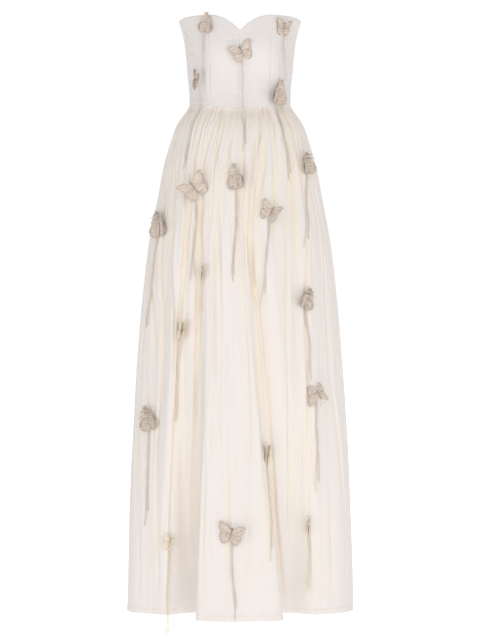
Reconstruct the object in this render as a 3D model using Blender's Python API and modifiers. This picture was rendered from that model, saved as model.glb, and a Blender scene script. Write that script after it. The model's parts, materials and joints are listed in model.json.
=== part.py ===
"""A strapless maxi dress, filled out as it is worn, with applied butterflies.

The bodice is seven cut panels, the skirt is three panels gathered to the waist seam, and a zip
closes the centre back. Each butterfly carries a pair of long thread tails. Units are metres, +Z is
up, the front faces -Y, and the origin is the centre of the waist, where the wearer holds it up.
"""

import math
from collections import namedtuple

import bmesh
import bpy
import numpy as np
from mathutils import Matrix, Vector
from mathutils.bvhtree import BVHTree

MM = 0.001

# Cloth and seams
WALL = 1.5 * MM
SEAM_GAP = 0.3 * MM
ZIP_SLOT = 1.2 * MM
ZIP_BELOW_WAIST = 190 * MM

# Waist seam: it dips a little at the centre front
WAIST_SIDE_HEIGHT = 8 * MM
WAIST_FRONT_HEIGHT = -5 * MM

# Neckline heights above the waist, round the top edge
NECK_DIP_HEIGHT = 165.5 * MM
NECK_PEAK_HEIGHT = 203 * MM
NECK_PEAK_ACROSS = 74 * MM
NECK_SIDE_HEIGHT = 195.5 * MM
NECK_BACK_HEIGHT = 185 * MM

# Bust cups
CUP_ACROSS = 58 * MM
CUP_HEIGHT = 125 * MM
CUP_RADIUS = 34 * MM
CUP_FULLNESS = 14 * MM
BODICE_ROWS = 9

# Skirt
SKIRT_LENGTH = 1152 * MM
COLUMNS_PER_LINE = 3
HEM_RISE_SHARE = 0.05

BodiceSection = namedtuple("BodiceSection", "height half_width depth_front depth_back")
BODICE_SECTIONS = (
    BodiceSection(-10, 116, 85, 85),
    BodiceSection(25, 116, 87, 84),
    BodiceSection(45, 117, 90, 85),
    BodiceSection(82, 121, 95, 87),
    BodiceSection(118, 124, 98, 91),
    BodiceSection(155, 129, 101, 95),
    BodiceSection(182, 135.5, 102, 97),
    BodiceSection(204, 143, 101, 98),
)

# Angles are degrees round the waist from the front: +90 is the +X side, 180 the centre back
PanelSeam = namedtuple("PanelSeam", "name waist_turn top_turn")
FRONT_SEAM = PanelSeam("front_princess", 37, 33)
SIDE_SEAM = PanelSeam("side", 90, 90)
BACK_SEAM = PanelSeam("back_princess", 141, 139)
CENTRE_BACK = PanelSeam("centre_back", 180, 180)

SkirtSection = namedtuple("SkirtSection", "drop half_width half_depth")
SKIRT_SECTIONS = (
    SkirtSection(0, 116, 85),
    SkirtSection(10, 120, 89),
    SkirtSection(25, 131, 99),
    SkirtSection(48, 146, 111),
    SkirtSection(80, 158, 121),
    SkirtSection(136, 175, 136),
    SkirtSection(218, 191, 151),
    SkirtSection(301, 208, 164),
    SkirtSection(439, 225, 177),
    SkirtSection(605, 239, 189),
    SkirtSection(826, 253, 201),
    SkirtSection(1152, 262, 208),
)

# The skirt's cloth follows lines that run from the waist to the hem, ridge and valley in turn.
# Each line has its angle, and how far it lies inside the plain section, at three heights.
FOLD_DROPS = (0, 215, 560, 1152)
FoldLine = namedtuple("FoldLine", "name hip_turn thigh_turn hem_turn hip_in thigh_in hem_in")
FOLD_LINES = (
    FoldLine("left_side_seam", -90, -91, -91, 0, 0, 0),
    FoldLine("left_side_ridge", -80, -79, -78, 0, 0, 4),
    FoldLine("left_broad_slope", -68, -66, -70, 4, 9, 20),
    FoldLine("left_broad_valley", -57, -54, -62, 7, 17, 34),
    FoldLine("left_broad_rise", -49, -46, -54.5, 5, 8, 36),
    FoldLine("left_recess_outer_lip", -43, -40, -48.5, -2, -3, 38),
    FoldLine("left_recess_outer_foot", -38, -36.5, -47.5, 10, 26, 98),
    FoldLine("left_recess_floor", -33, -31, -37, 2, 12, 104),
    FoldLine("left_recess_inner_foot", -27, -25, -25, 13, 30, 92),
    FoldLine("front_panel_left_lip", -20, -19, -25.3, -3, -4, -8),
    FoldLine("front_panel_left_dent", -14.5, -11.5, -14, 6, 8, 4),
    FoldLine("front_panel_ridge", -7, -5, -5, -1, -1, -2),
    FoldLine("front_panel_right_dent", 2.5, 2.5, 5, 7, 10, 7),
    FoldLine("front_panel_right_lip", 6, 7.5, 26.3, 0, -2, -8),
    FoldLine("right_recess_inner_foot", 10, 12, 25, 15, 31, 88),
    FoldLine("right_recess_floor", 18, 20, 32, -2, 5, 96),
    FoldLine("right_recess_rise", 28, 29, 39, 6, 10, 98),
    FoldLine("right_recess_outer_foot", 44, 39, 47.5, 10, 20, 92),
    FoldLine("right_recess_outer_lip", 50, 44, 48.5, -1, -2, 46),
    FoldLine("right_side_dent", 59, 60, 58, 5, 11, 36),
    FoldLine("right_side_ridge", 68, 68, 68, -1, 1, 18),
    FoldLine("right_side_valley", 79, 78, 79, 3, 6, 8),
    FoldLine("right_side_seam", 90, 90, 91, 0, 0, -1),
    FoldLine("back_right_shoulder", 98, 98, 98, 2, 4, 0),
    FoldLine("back_right_slope", 106, 107, 109, 6, 12, 18),
    FoldLine("back_right_ridge", 114, 115, 120, -1, -1, -7),
    FoldLine("back_right_fold_lip", 121, 123, 130, 4, 8, 2),
    FoldLine("back_right_fold_foot", 128, 130, 129, 11, 26, 82),
    FoldLine("back_right_fold_floor", 136, 137, 137, 4, 13, 90),
    FoldLine("back_right_inner_foot", 144, 145, 146, 12, 27, 84),
    FoldLine("back_right_inner_lip", 151, 151, 144, -1, -2, -8),
    FoldLine("back_right_dent", 161, 160, 157, 3, 7, 5),
    FoldLine("back_right_centre_ridge", 171, 170, 169, 0, -1, -3),
    FoldLine("centre_back_seam", 180, 180, 181, 0, 6, 10),
    FoldLine("back_left_centre_ridge", 189, 189, 192, 0, -1, -4),
    FoldLine("back_left_dent", 198, 199, 202, 3, 9, 8),
    FoldLine("back_left_inner_lip", 207, 208, 214, -1, -3, -8),
    FoldLine("back_left_inner_foot", 214, 215, 212.5, 11, 24, 78),
    FoldLine("back_left_fold_floor", 222, 222, 221, 3, 11, 86),
    FoldLine("back_left_fold_foot", 230, 230, 230.5, 10, 25, 80),
    FoldLine("back_left_fold_lip", 238, 237, 229, -1, -2, -8),
    FoldLine("back_left_slope", 246, 245, 242, 5, 10, 9),
    FoldLine("back_left_ridge", 254, 254, 252, -1, 0, -2),
    FoldLine("back_left_shoulder", 262, 262, 261, 3, 7, 6),
)

SKIRT_ROWS = (0, 6, 16, 34, 60, 95, 140, 190, 280, 390, 510, 640, 770, 900, 1030, 1152)

GatherSize = namedtuple("GatherSize", "drop fine merged")
GATHER_SIZES = (
    GatherSize(0, 0.5, 0),
    GatherSize(14, 2.2, 0),
    GatherSize(55, 2.6, 0.6),
    GatherSize(90, 2.0, 1.8),
    GatherSize(135, 1.1, 2.6),
    GatherSize(190, 0.4, 2.4),
    GatherSize(350, 0, 1.0),
    GatherSize(560, 0, 0),
)

# Butterflies. The outline of one side's two wings, in half spans from the middle of the body
WING_THICKNESS = 1.2 * MM
WingPoint = namedtuple("WingPoint", "out ahead")
WING_OUTLINE = (
    WingPoint(0.02, 0.15),
    WingPoint(0.40, 0.52),
    WingPoint(0.78, 0.64),
    WingPoint(1.00, 0.42),
    WingPoint(0.92, 0.08),
    WingPoint(0.62, -0.10),
    WingPoint(0.78, -0.44),
    WingPoint(0.66, -0.80),
    WingPoint(0.36, -0.90),
    WingPoint(0.13, -0.48),
    WingPoint(0.02, -0.15),
)
FOLDED_WING_OUTLINE = (
    WingPoint(0.02, 0.34),
    WingPoint(0.06, 0.68),
    WingPoint(0.18, 0.80),
    WingPoint(0.34, 0.64),
    WingPoint(0.50, 0.26),
    WingPoint(0.68, -0.18),
    WingPoint(0.77, -0.60),
    WingPoint(0.60, -0.90),
    WingPoint(0.32, -0.96),
    WingPoint(0.10, -0.84),
    WingPoint(0.02, -0.32),
)
BODY_LENGTH_SHARE = 0.72
BODY_THICKNESS = 4.4 * MM
TAIL_THICKNESS = 1.5 * MM
TAIL_SPACING = 2.7 * MM
TAIL_KNOTS = (0, 0.05, 0.3, 0.6, 1)
CLEAR_OF_CLOTH = 0.4 * MM
SURVEY_STEP = 6 * MM

# turn and height place the body, roll turns its head clockwise, swing turns its back sideways,
# left and right raise each side's wings from the cloth, splay parts the tails' ends, and folded
# lays the wings back over the body
Butterfly = namedtuple(
    "Butterfly", "name turn height span roll swing left right tail drift splay folded", defaults=(False,)
)
BUTTERFLIES = (
    Butterfly("left_neckline", -33.5, 187, 53, 6, 12, 49, 25, 136, -15, 2, True),
    Butterfly("right_neckline", 46.9, 177, 46, 10, -51, 53, 31, 123, 9, 2),
    Butterfly("centre_bodice", 1, 119, 53, -23, 20, 4, 20, 221, 7, 1),
    Butterfly("left_waist", -49.4, 59, 57, 8, 40, 64, 100, 201, 0, 3),
    Butterfly("right_waist", 45.7, 33, 67, 17, -9, 43, 26, 199, 0, 4, True),
    Butterfly("left_hip", -32.2, -188, 66, -38, 41, 6, 12, 206, -1, 7),
    Butterfly("centre_hip", -2, -163, 66, -11, -20, 18, 35, 232, -10, 2, True),
    Butterfly("right_front", 20.7, -244, 55, 25, -29, 8, 31, 209, -25, 3),
    Butterfly("right_side_hip", 59.2, -129, 58, -6, -29, 44, 34, 189, -39, 12, True),
    Butterfly("left_side_hip", -65.9, -266, 71, -11, 14, 28, 17, 231, -20, 4, True),
    Butterfly("right_thigh", 42.2, -436, 57, 22, -3, 28, 21, 187, 6, 5, True),
    Butterfly("right_knee", 46.9, -652, 57, 159, -49, 47, 9, 228, 4, 8),
    Butterfly("left_recess_high", -35.5, -507, 56, 10, 25, 70, 75, 202, -14, 3),
    Butterfly("left_recess_hip", -23, -379, 44, 6, 14, 80, 78, 90, 0, 2),
    Butterfly("left_side_knee", -62.2, -707, 66, -20, 21, 49, 15, 240, -6, 8, True),
    Butterfly("left_recess_low", -43.5, -985, 44, 18, 30, 40, 62, 209, -7, 3),
    Butterfly("centre_shin", -4.2, -957, 59, 12, -12, 5, 5, 187, 12, 2),
    Butterfly("right_recess_knee", 16, -781, 54, 6, -10, 78, 76, 233, 2, 2),
    Butterfly("right_shin", 43.8, -946, 48, 4, -42, 84, 82, 150, 2, 2),
    Butterfly("back_left_shoulder", 222, 118, 56, -16, 0, 22, 30, 196, 4, 3),
    Butterfly("back_right_hip", 152, -150, 58, 12, 0, 26, 20, 200, -6, 4),
    Butterfly("back_left_hip", 240, -330, 56, -34, 0, 24, 48, 196, 8, 4),
    Butterfly("back_right_thigh", 118, -520, 58, 28, 0, 30, 110, 190, -4, 6),
    Butterfly("back_centre_knee", 190, -640, 60, -10, 0, 18, 22, 210, 6, 3),
    Butterfly("back_right_shin", 164, -905, 56, 40, 0, 20, 42, 176, -8, 4),
)

# Zip at the centre back
ZIP_SLIDER_HEIGHT = 171 * MM
ZIP_TOP_SHARE = 0.96
TAPE_WIDTH = 24 * MM
TAPE_THICKNESS = 0.8 * MM
TAPE_INSET = 0.8 * MM
SLIDER_SIZE = Vector((6.0, 2.0, 9.0)) * MM
SLIDER_SEAT = 0.75 * MM
NECK_WIDTH = 0.5 * MM
ARCH_WIDTH = 1.2 * MM
ARCH_RISE = 3.0 * MM
ARCH_LENGTH = 7.2 * MM
ARCH_BAR = 0.9 * MM
TAB_WIDTH = 5.0 * MM
TAB_LENGTH = 22 * MM
TAB_THICKNESS = 0.9 * MM
TAB_HOLE_WIDTH = 2.0 * MM
TAB_HOLE_LENGTH = 4.0 * MM
TAB_AXIS_RISE = 1.15 * MM

# Colours, as linear values
CLOTH_COLOUR = (0.82, 0.77, 0.72)
BUTTERFLY_COLOUR = (0.50, 0.40, 0.32)
TAPE_COLOUR = (0.78, 0.74, 0.69)
METAL_COLOUR = (0.62, 0.58, 0.52)


# ---------------------------------------------------------------- scene and materials


def clear_scene():
    """Remove every object that the file starts with."""
    for obj in list(bpy.data.objects):
        bpy.data.objects.remove(obj, do_unlink=True)


def new_collection(name):
    """A collection linked to the scene."""
    collection = bpy.data.collections.new(name)
    bpy.context.scene.collection.children.link(collection)
    return collection


def finish(name, colour, roughness, metallic=0.0):
    """A Principled material of one colour."""
    material = bpy.data.materials.new(name)
    material.use_nodes = True
    shader = material.node_tree.nodes["Principled BSDF"]
    shader.inputs["Base Color"].default_value = (*colour, 1.0)
    shader.inputs["Roughness"].default_value = roughness
    shader.inputs["Metallic"].default_value = metallic
    return material


def add_object(name, mesh, material, collection):
    """An object of this mesh in the collection, in its own copy of the material."""
    obj = bpy.data.objects.new(name, mesh)
    own = material.copy()
    own.name = f"{name}_finish"
    mesh.materials.clear()
    mesh.materials.append(own)
    collection.objects.link(obj)
    return obj


# ---------------------------------------------------------------- curves through the tables


def smooth_through(stations, values, at):
    """Values on a smooth curve through a table's rows, at the places asked for."""
    stations = np.asarray(stations, float)
    values = np.asarray(values, float)
    slopes = np.gradient(values, stations, axis=0)
    at = np.clip(np.asarray(at, float), stations[0], stations[-1])
    left = np.clip(np.searchsorted(stations, at, side="right") - 1, 0, len(stations) - 2)
    step = stations[left + 1] - stations[left]
    share = (at - stations[left]) / step
    shape = share.shape + (1,) * (values.ndim - 1)
    share, step = share.reshape(shape), step.reshape(shape)
    start = (2 * share**3 - 3 * share**2 + 1) * values[left]
    leave = (share**3 - 2 * share**2 + share) * step * slopes[left]
    end = (3 * share**2 - 2 * share**3) * values[left + 1]
    arrive = (share**3 - share**2) * step * slopes[left + 1]
    return start + leave + end + arrive


def column(rows, name):
    """One named column of a table, as an array."""
    return np.array([getattr(row, name) for row in rows], float)


def closed_spline(rings, samples):
    """Smooth closed rings near their control points: a uniform cubic B-spline along axis 1."""
    before = np.roll(rings, 1, axis=1)
    after = np.roll(rings, -1, axis=1)
    beyond = np.roll(rings, -2, axis=1)
    parts = []
    for sample in range(samples):
        t = sample / samples
        weights = ((1 - t) ** 3, 3 * t**3 - 6 * t**2 + 4, -3 * t**3 + 3 * t**2 + 3 * t + 1, t**3)
        near = (before, rings, after, beyond)
        parts.append(sum(w * p for w, p in zip(weights, near)) / 6)
    stacked = np.stack(parts, axis=2)
    return stacked.reshape(rings.shape[0], -1, rings.shape[2])


# ---------------------------------------------------------------- the garment's form


def waist_height(turn):
    """Height of the waist seam at an angle round it, in radians."""
    front = np.clip(np.cos(turn), 0, 1) ** 2
    return WAIST_SIDE_HEIGHT + (WAIST_FRONT_HEIGHT - WAIST_SIDE_HEIGHT) * front


def neckline_height(turn, across):
    """Height of the top edge: a sweetheart dip in front, and a plain line round the back."""
    reach = np.clip(np.abs(across) / NECK_PEAK_ACROSS, 0, 1)
    cup = NECK_DIP_HEIGHT + (NECK_PEAK_HEIGHT - NECK_DIP_HEIGHT) * (1 - (1 - reach) ** 2)
    peak_turn = math.radians(33)
    past_peak = np.clip((np.abs(turn) - peak_turn) / (math.pi / 2 - peak_turn), 0, 1)
    outer = NECK_PEAK_HEIGHT + (NECK_SIDE_HEIGHT - NECK_PEAK_HEIGHT) * past_peak**2
    behind = np.clip((np.abs(turn) - math.pi / 2) / (math.pi / 2), 0, 1)
    back_height = NECK_SIDE_HEIGHT + (NECK_BACK_HEIGHT - NECK_SIDE_HEIGHT) * behind
    front = np.where(np.abs(turn) < peak_turn, cup, outer)
    return np.where(np.abs(turn) > math.pi / 2, back_height, front)


def bodice_points(turn, share):
    """Outer points of the bodice: share runs from 0 at the waist seam to 1 at the top edge."""
    heights = column(BODICE_SECTIONS, "height") * MM
    sizes = np.stack(
        [column(BODICE_SECTIONS, name) * MM for name in ("half_width", "depth_front", "depth_back")],
        axis=1,
    )
    top_width = smooth_through(heights, sizes, np.full_like(turn, NECK_PEAK_HEIGHT))[..., 0]
    top = neckline_height(turn, top_width * np.sin(turn))
    waist = waist_height(turn)
    height = waist + share * (top - waist)
    at = smooth_through(heights, sizes, height)
    depth = np.where(np.cos(turn) > 0, at[..., 1], at[..., 2])
    across = at[..., 0] * np.sin(turn)
    forward = -depth * np.cos(turn)
    for side in (-1, 1):
        reach = (across - side * CUP_ACROSS) ** 2 + (height - CUP_HEIGHT) ** 2
        cup = CUP_FULLNESS * np.exp(-reach / (2 * CUP_RADIUS**2))
        forward = forward - cup * np.clip(np.cos(turn), 0, 1)
    return np.stack([across, forward, height], axis=-1)


def section_size(drops):
    """Half width and half depth of the skirt's plain section at each drop below the waist."""
    at = column(SKIRT_SECTIONS, "drop") * MM
    width = smooth_through(at, column(SKIRT_SECTIONS, "half_width") * MM, drops)
    depth = smooth_through(at, column(SKIRT_SECTIONS, "half_depth") * MM, drops)
    return width, depth


def skirt_control_rings(drops):
    """The fold lines' points in plan at each drop below the waist, before smoothing."""
    count = len(FOLD_LINES)
    even_turns = -90 + 360 / count * np.arange(count)
    turns = [even_turns] + [column(FOLD_LINES, f"{at}_turn") for at in ("hip", "thigh", "hem")]
    insets = [np.zeros(count)] + [column(FOLD_LINES, f"{at}_in") for at in ("hip", "thigh", "hem")]
    stations = np.array(FOLD_DROPS) * MM
    turn = np.radians(smooth_through(stations, turns, drops))
    inset = smooth_through(stations, insets, drops) * MM
    width, depth = section_size(drops)
    across = width[:, None] * np.sin(turn)
    forward = -depth[:, None] * np.cos(turn)
    kept = 1 - inset / np.hypot(across, forward)
    return np.stack([across * kept, forward * kept, inset], axis=-1)


def gather_offsets(drops, columns):
    """How far the gathers lift each column off the smooth skirt, by row."""
    rng = np.random.default_rng(11)
    index = np.arange(columns)
    fine = np.where(index % 2 == 0, 1.0, -1.0) * rng.uniform(0.65, 1.2, columns)
    merged = np.sin(index * math.pi / 2 + 0.6) * rng.uniform(0.5, 1.1, columns)
    flat = np.ones(columns)
    for seam in (0, columns // 2, 3 * columns // 4, columns):
        flat = np.minimum(flat, np.clip((np.abs(index - seam) - 1) / 2, 0, 1))
    zip_column = 3 * columns // 4
    flat = np.minimum(flat, np.clip((np.abs(index - zip_column) - 3) / 2, 0, 1))
    stations = column(GATHER_SIZES, "drop") * MM
    fine_size = smooth_through(stations, column(GATHER_SIZES, "fine") * MM, drops)
    merged_size = smooth_through(stations, column(GATHER_SIZES, "merged") * MM, drops)
    return (fine_size[:, None] * fine + merged_size[:, None] * merged) * flat


def skirt_points(drops):
    """Outer points of the skirt: rows down from the waist seam, columns round from the left side."""
    rings = closed_spline(skirt_control_rings(drops), COLUMNS_PER_LINE)
    plan, inset = rings[..., :2], rings[..., 2]
    along = np.roll(plan, -1, axis=1) - np.roll(plan, 1, axis=1)
    out = np.stack([along[..., 1], -along[..., 0]], axis=-1)
    out /= np.linalg.norm(out, axis=-1, keepdims=True)
    plan = plan + out * gather_offsets(drops, plan.shape[1])[..., None]
    share = (drops / SKIRT_LENGTH)[:, None]
    width, depth = section_size(drops)
    waist = waist_height(np.arctan2(plan[..., 0] / width[:, None], -plan[..., 1] / depth[:, None]))
    rise = HEM_RISE_SHARE * np.clip(inset, 0, None) * share
    height = waist * (1 - share) - SKIRT_LENGTH * share + rise
    return np.concatenate([plan, height[..., None]], axis=-1)


# ---------------------------------------------------------------- cloth panels


def drawn_in(grid, left_gaps, right_gaps):
    """A panel's grid with its two side edges moved in from the seams."""
    grid = grid.copy()
    for edge, inner, gaps in ((0, 1, left_gaps), (-1, -2, right_gaps)):
        step = grid[:, inner] - grid[:, edge]
        step /= np.linalg.norm(step, axis=-1, keepdims=True)
        grid[:, edge] += step * np.asarray(gaps)[:, None]
    return grid


def panel(name, grid, material, collection, wall=WALL):
    """A cloth panel: a grid of outer points, thickened inwards. Rows run down, columns round."""
    rows, columns = grid.shape[:2]
    faces = []
    for row in range(rows - 1):
        for place in range(columns - 1):
            first = row * columns + place
            faces.append((first, first + columns, first + columns + 1, first + 1))
    mesh = bpy.data.meshes.new(name)
    mesh.from_pydata(grid.reshape(-1, 3).tolist(), [], faces)
    mesh.update()
    mesh.shade_smooth()
    obj = add_object(name, mesh, material, collection)
    solidify = obj.modifiers.new("wall", "SOLIDIFY")
    solidify.thickness = wall
    solidify.offset = -1
    solidify.use_even_offset = True
    facets = obj.modifiers.new("facets", "TRIANGULATE")
    facets.quad_method = "SHORTEST_DIAGONAL"
    return obj


def bodice_panel(name, left, right, columns, material, collection):
    """A bodice panel between two seams, with its edges drawn in from its neighbours."""
    share = np.linspace(1, 0, BODICE_ROWS)[:, None]
    place = np.linspace(0, 1, columns)[None, :]
    left_turn = left.waist_turn + (left.top_turn - left.waist_turn) * share
    right_turn = right.waist_turn + (right.top_turn - right.waist_turn) * share
    turn = np.radians(left_turn + (right_turn - left_turn) * place)
    grid = bodice_points(turn, share + 0 * turn)
    grid[-1, :, 2] += SEAM_GAP / 2
    gaps = []
    for seam in (left, right):
        at_zip = abs(seam.waist_turn) == CENTRE_BACK.waist_turn
        gaps.append(np.full(BODICE_ROWS, (ZIP_SLOT if at_zip else SEAM_GAP) / 2))
    return panel(name, drawn_in(grid, *gaps), material, collection)


def mirrored(seam):
    """The same seam on the other side."""
    return PanelSeam(seam.name, -seam.waist_turn, -seam.top_turn)


def make_bodice(material, collection):
    """The seven bodice panels. Left and right are as seen from the front."""
    front_left, side_left, back_left = mirrored(FRONT_SEAM), mirrored(SIDE_SEAM), mirrored(BACK_SEAM)
    centre_left = mirrored(CENTRE_BACK)
    layout = (
        ("bodice_front", front_left, FRONT_SEAM, 15),
        ("bodice_side_front_left", side_left, front_left, 8),
        ("bodice_side_front_right", FRONT_SEAM, SIDE_SEAM, 8),
        ("bodice_side_back_left", back_left, side_left, 7),
        ("bodice_side_back_right", SIDE_SEAM, BACK_SEAM, 7),
        ("bodice_back_left", centre_left, back_left, 6),
        ("bodice_back_right", BACK_SEAM, CENTRE_BACK, 6),
    )
    return [bodice_panel(*row, material, collection) for row in layout]


def make_skirt(material, collection):
    """The three skirt panels, gathered at the waist seam and folded down to the hem."""
    drops = np.array(SKIRT_ROWS) * MM
    ring = skirt_points(drops)
    ring[0, :, 2] -= SEAM_GAP / 2
    half, zip_column = ring.shape[1] // 2, 3 * ring.shape[1] // 4
    whole = np.concatenate([ring, ring[:, :1]], axis=1)
    plain = np.full(len(drops), SEAM_GAP / 2)
    zipped = np.where(drops < ZIP_BELOW_WAIST + MM, ZIP_SLOT / 2, SEAM_GAP / 2)
    layout = (
        ("skirt_front", 0, half, plain, plain),
        ("skirt_back_right", half, zip_column, plain, zipped),
        ("skirt_back_left", zip_column, whole.shape[1] - 1, zipped, plain),
    )
    panels = []
    for name, first, last, left_gaps, right_gaps in layout:
        grid = drawn_in(whole[:, first : last + 1], left_gaps, right_gaps)
        panels.append(panel(name, grid, material, collection))
    return panels


# ---------------------------------------------------------------- zip


def make_zip_tape(material, collection):
    """The closed tape, laid on the inside of the back panels from the top to below the waist."""
    shares = np.append(ZIP_TOP_SHARE, np.linspace(1, 0, BODICE_ROWS)[1:])
    turn_half = np.degrees(TAPE_WIDTH / 2 / (BODICE_SECTIONS[0].half_width * MM))
    places = np.linspace(180 - turn_half, 180 + turn_half, 3)
    turn = np.radians(np.broadcast_to(places, (len(shares), len(places))))
    upper = bodice_points(np.where(turn > math.pi, turn - 2 * math.pi, turn), shares[:, None] + 0 * turn)
    drops = np.array([row for row in SKIRT_ROWS if 0 < row * MM <= ZIP_BELOW_WAIST]) * MM
    ring = skirt_points(drops)
    centre = 3 * ring.shape[1] // 4
    lower = ring[:, centre - 2 : centre + 3 : 2]
    grid = np.concatenate([upper, lower], axis=0)
    inside = WALL + TAPE_INSET
    grid[..., 1] -= inside
    grid[..., 0] = np.linspace(TAPE_WIDTH / 2, -TAPE_WIDTH / 2, 3)
    return panel("zip_tape", grid, material, collection, TAPE_THICKNESS)


def box_mesh(name, size, centre, bevel=0.0):
    """A box as a temporary object, with rounded edges where a bevel is given."""
    mesh = bpy.data.meshes.new(name)
    shape = bmesh.new()
    bmesh.ops.create_cube(shape, size=1.0)
    bmesh.ops.scale(shape, vec=size, verts=shape.verts)
    bmesh.ops.translate(shape, vec=centre, verts=shape.verts)
    if bevel:
        bmesh.ops.bevel(
            shape, geom=list(shape.edges), offset=bevel, segments=1, affect="EDGES", profile=0.5
        )
    shape.to_mesh(mesh)
    shape.free()
    obj = bpy.data.objects.new(name, mesh)
    bpy.context.scene.collection.objects.link(obj)
    return obj


def combined(name, first, others, operations):
    """One mesh made from a first object and others that join it or cut it."""
    for other, operation in zip(others, operations):
        modifier = first.modifiers.new(other.name, "BOOLEAN")
        modifier.operation = operation
        modifier.solver = "EXACT"
        modifier.object = other
    bpy.context.view_layer.update()
    graph = bpy.context.evaluated_depsgraph_get()
    mesh = bpy.data.meshes.new_from_object(first.evaluated_get(graph))
    mesh.name = name
    for obj in (first, *others):
        bpy.data.objects.remove(obj, do_unlink=True)
    return mesh


def slider_seat():
    """The point of the back panels' outer face that the slider lies on."""
    turn = np.array([math.pi])
    low, high = bodice_points(turn, np.array([0.0]))[0], bodice_points(turn, np.array([1.0]))[0]
    share = np.array([(ZIP_SLIDER_HEIGHT - low[2]) / (high[2] - low[2])])
    return Vector(bodice_points(turn, share)[0])


def make_zip_slider(material, collection):
    """The slider: a body on the cloth, a neck through the slot, and an arch that holds the tab."""
    seat = slider_seat()
    under = seat.y + SLIDER_SEAT
    body_centre = Vector((0, under + SLIDER_SIZE.y / 2, ZIP_SLIDER_HEIGHT))
    body = box_mesh("body", SLIDER_SIZE, body_centre, 0.5 * MM)
    neck_depth = SLIDER_SEAT + WALL + TAPE_INSET - SEAM_GAP + SLIDER_SIZE.y / 2
    neck_centre = Vector((0, body_centre.y - neck_depth / 2, ZIP_SLIDER_HEIGHT))
    neck = box_mesh("neck", Vector((NECK_WIDTH, neck_depth, 5 * MM)), neck_centre)
    top = under + SLIDER_SIZE.y
    foot = 0.5 * MM
    arch_centre = Vector((0, top + (ARCH_RISE - foot) / 2, ZIP_SLIDER_HEIGHT))
    arch = box_mesh("arch", Vector((ARCH_WIDTH, ARCH_RISE + foot, ARCH_LENGTH)), arch_centre)
    hole_size = Vector((2 * ARCH_WIDTH, ARCH_RISE - ARCH_BAR, ARCH_LENGTH - 2 * ARCH_BAR))
    hole_centre = Vector((0, top + hole_size.y / 2 + 0.01 * MM, ZIP_SLIDER_HEIGHT))
    hole = box_mesh("hole", hole_size, hole_centre)
    loop = bpy.data.objects.new("loop", combined("loop", arch, [hole], ["DIFFERENCE"]))
    bpy.context.scene.collection.objects.link(loop)
    mesh = combined("zip_slider", body, [neck, loop], ["UNION", "UNION"])
    return add_object("zip_slider", mesh, material, collection)


def make_pull_tab(material, collection):
    """The pull tab, hanging from its crossbar under the slider's arch. Its origin is the hinge."""
    seat = slider_seat()
    axis = Vector((0, seat.y + SLIDER_SEAT + SLIDER_SIZE.y + TAB_AXIS_RISE, ZIP_SLIDER_HEIGHT))
    half_bar = TAB_THICKNESS / 2
    plate_centre = Vector((0, 0, half_bar - TAB_LENGTH / 2))
    plate = box_mesh("plate", Vector((TAB_WIDTH, TAB_THICKNESS, TAB_LENGTH)), plate_centre, 0.2 * MM)
    hole_centre = Vector((0, 0, -half_bar - TAB_HOLE_LENGTH / 2))
    hole = box_mesh("hole", Vector((TAB_HOLE_WIDTH, 4 * MM, TAB_HOLE_LENGTH)), hole_centre)
    mesh = combined("zip_pull_tab", plate, [hole], ["DIFFERENCE"])
    obj = add_object("zip_pull_tab", mesh, material, collection)
    obj.location = axis
    return obj


# ---------------------------------------------------------------- butterflies


class ClothSurface:
    """The outer face of all the cloth, for laying things on it."""

    def __init__(self, panels):
        bpy.context.view_layer.update()
        graph = bpy.context.evaluated_depsgraph_get()
        points, faces = [], []
        for obj in panels:
            mesh = obj.evaluated_get(graph).to_mesh()
            start = len(points)
            points += [obj.matrix_world @ vertex.co for vertex in mesh.vertices]
            faces += [tuple(start + index for index in face.vertices) for face in mesh.polygons]
        self.tree = BVHTree.FromPolygons(points, faces)

    def reach(self, point, outward):
        """How far the cloth reaches along a direction at this point, or None beside the cloth."""
        start = point + outward * (1.0 - point.dot(outward))
        hit = self.tree.ray_cast(start, -outward, 2.0)[0]
        return None if hit is None else hit.dot(outward)


def section_frame(turn, height):
    """A point of the plain section at this angle and height, and the way out from it."""
    angle = math.radians((turn + 180) % 360 - 180)
    if height > WAIST_SIDE_HEIGHT:
        heights = column(BODICE_SECTIONS, "height") * MM
        name = "depth_front" if math.cos(angle) > 0 else "depth_back"
        width = float(smooth_through(heights, column(BODICE_SECTIONS, "half_width") * MM, height))
        depth = float(smooth_through(heights, column(BODICE_SECTIONS, name) * MM, height))
    else:
        width, depth = (float(size) for size in section_size(-height))
    point = Vector((width * math.sin(angle), -depth * math.cos(angle), height))
    outward = Vector((math.sin(angle) / width, -math.cos(angle) / depth, 0)).normalized()
    return point, outward


def wing_object(wing_rows, side, half_span, lift):
    """One side's wings: a flat outline of the wings' thickness, raised about the body's line."""
    curve = bpy.data.curves.new("wing", "CURVE")
    curve.dimensions = "2D"
    curve.fill_mode = "BOTH"
    curve.extrude = WING_THICKNESS / 2
    outline = curve.splines.new("POLY")
    outline.points.add(len(wing_rows) - 1)
    outline.use_cyclic_u = True
    for point, row in zip(outline.points, wing_rows):
        point.co = (side * row.out * half_span, row.ahead * half_span, 0, 1)
    flat = bpy.data.objects.new("wing_curve", curve)
    bpy.context.scene.collection.objects.link(flat)
    bpy.context.view_layer.update()
    mesh = bpy.data.meshes.new_from_object(flat.evaluated_get(bpy.context.evaluated_depsgraph_get()))
    bpy.data.objects.remove(flat, do_unlink=True)
    shape = bmesh.new()
    shape.from_mesh(mesh)
    bmesh.ops.remove_doubles(shape, verts=shape.verts, dist=0.01 * MM)
    bmesh.ops.recalc_face_normals(shape, faces=shape.faces)
    shape.to_mesh(mesh)
    shape.free()
    mesh.transform(Matrix.Rotation(-side * math.radians(lift), 4, "Y"))
    wing = bpy.data.objects.new("wing", mesh)
    bpy.context.scene.collection.objects.link(wing)
    return wing


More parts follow.
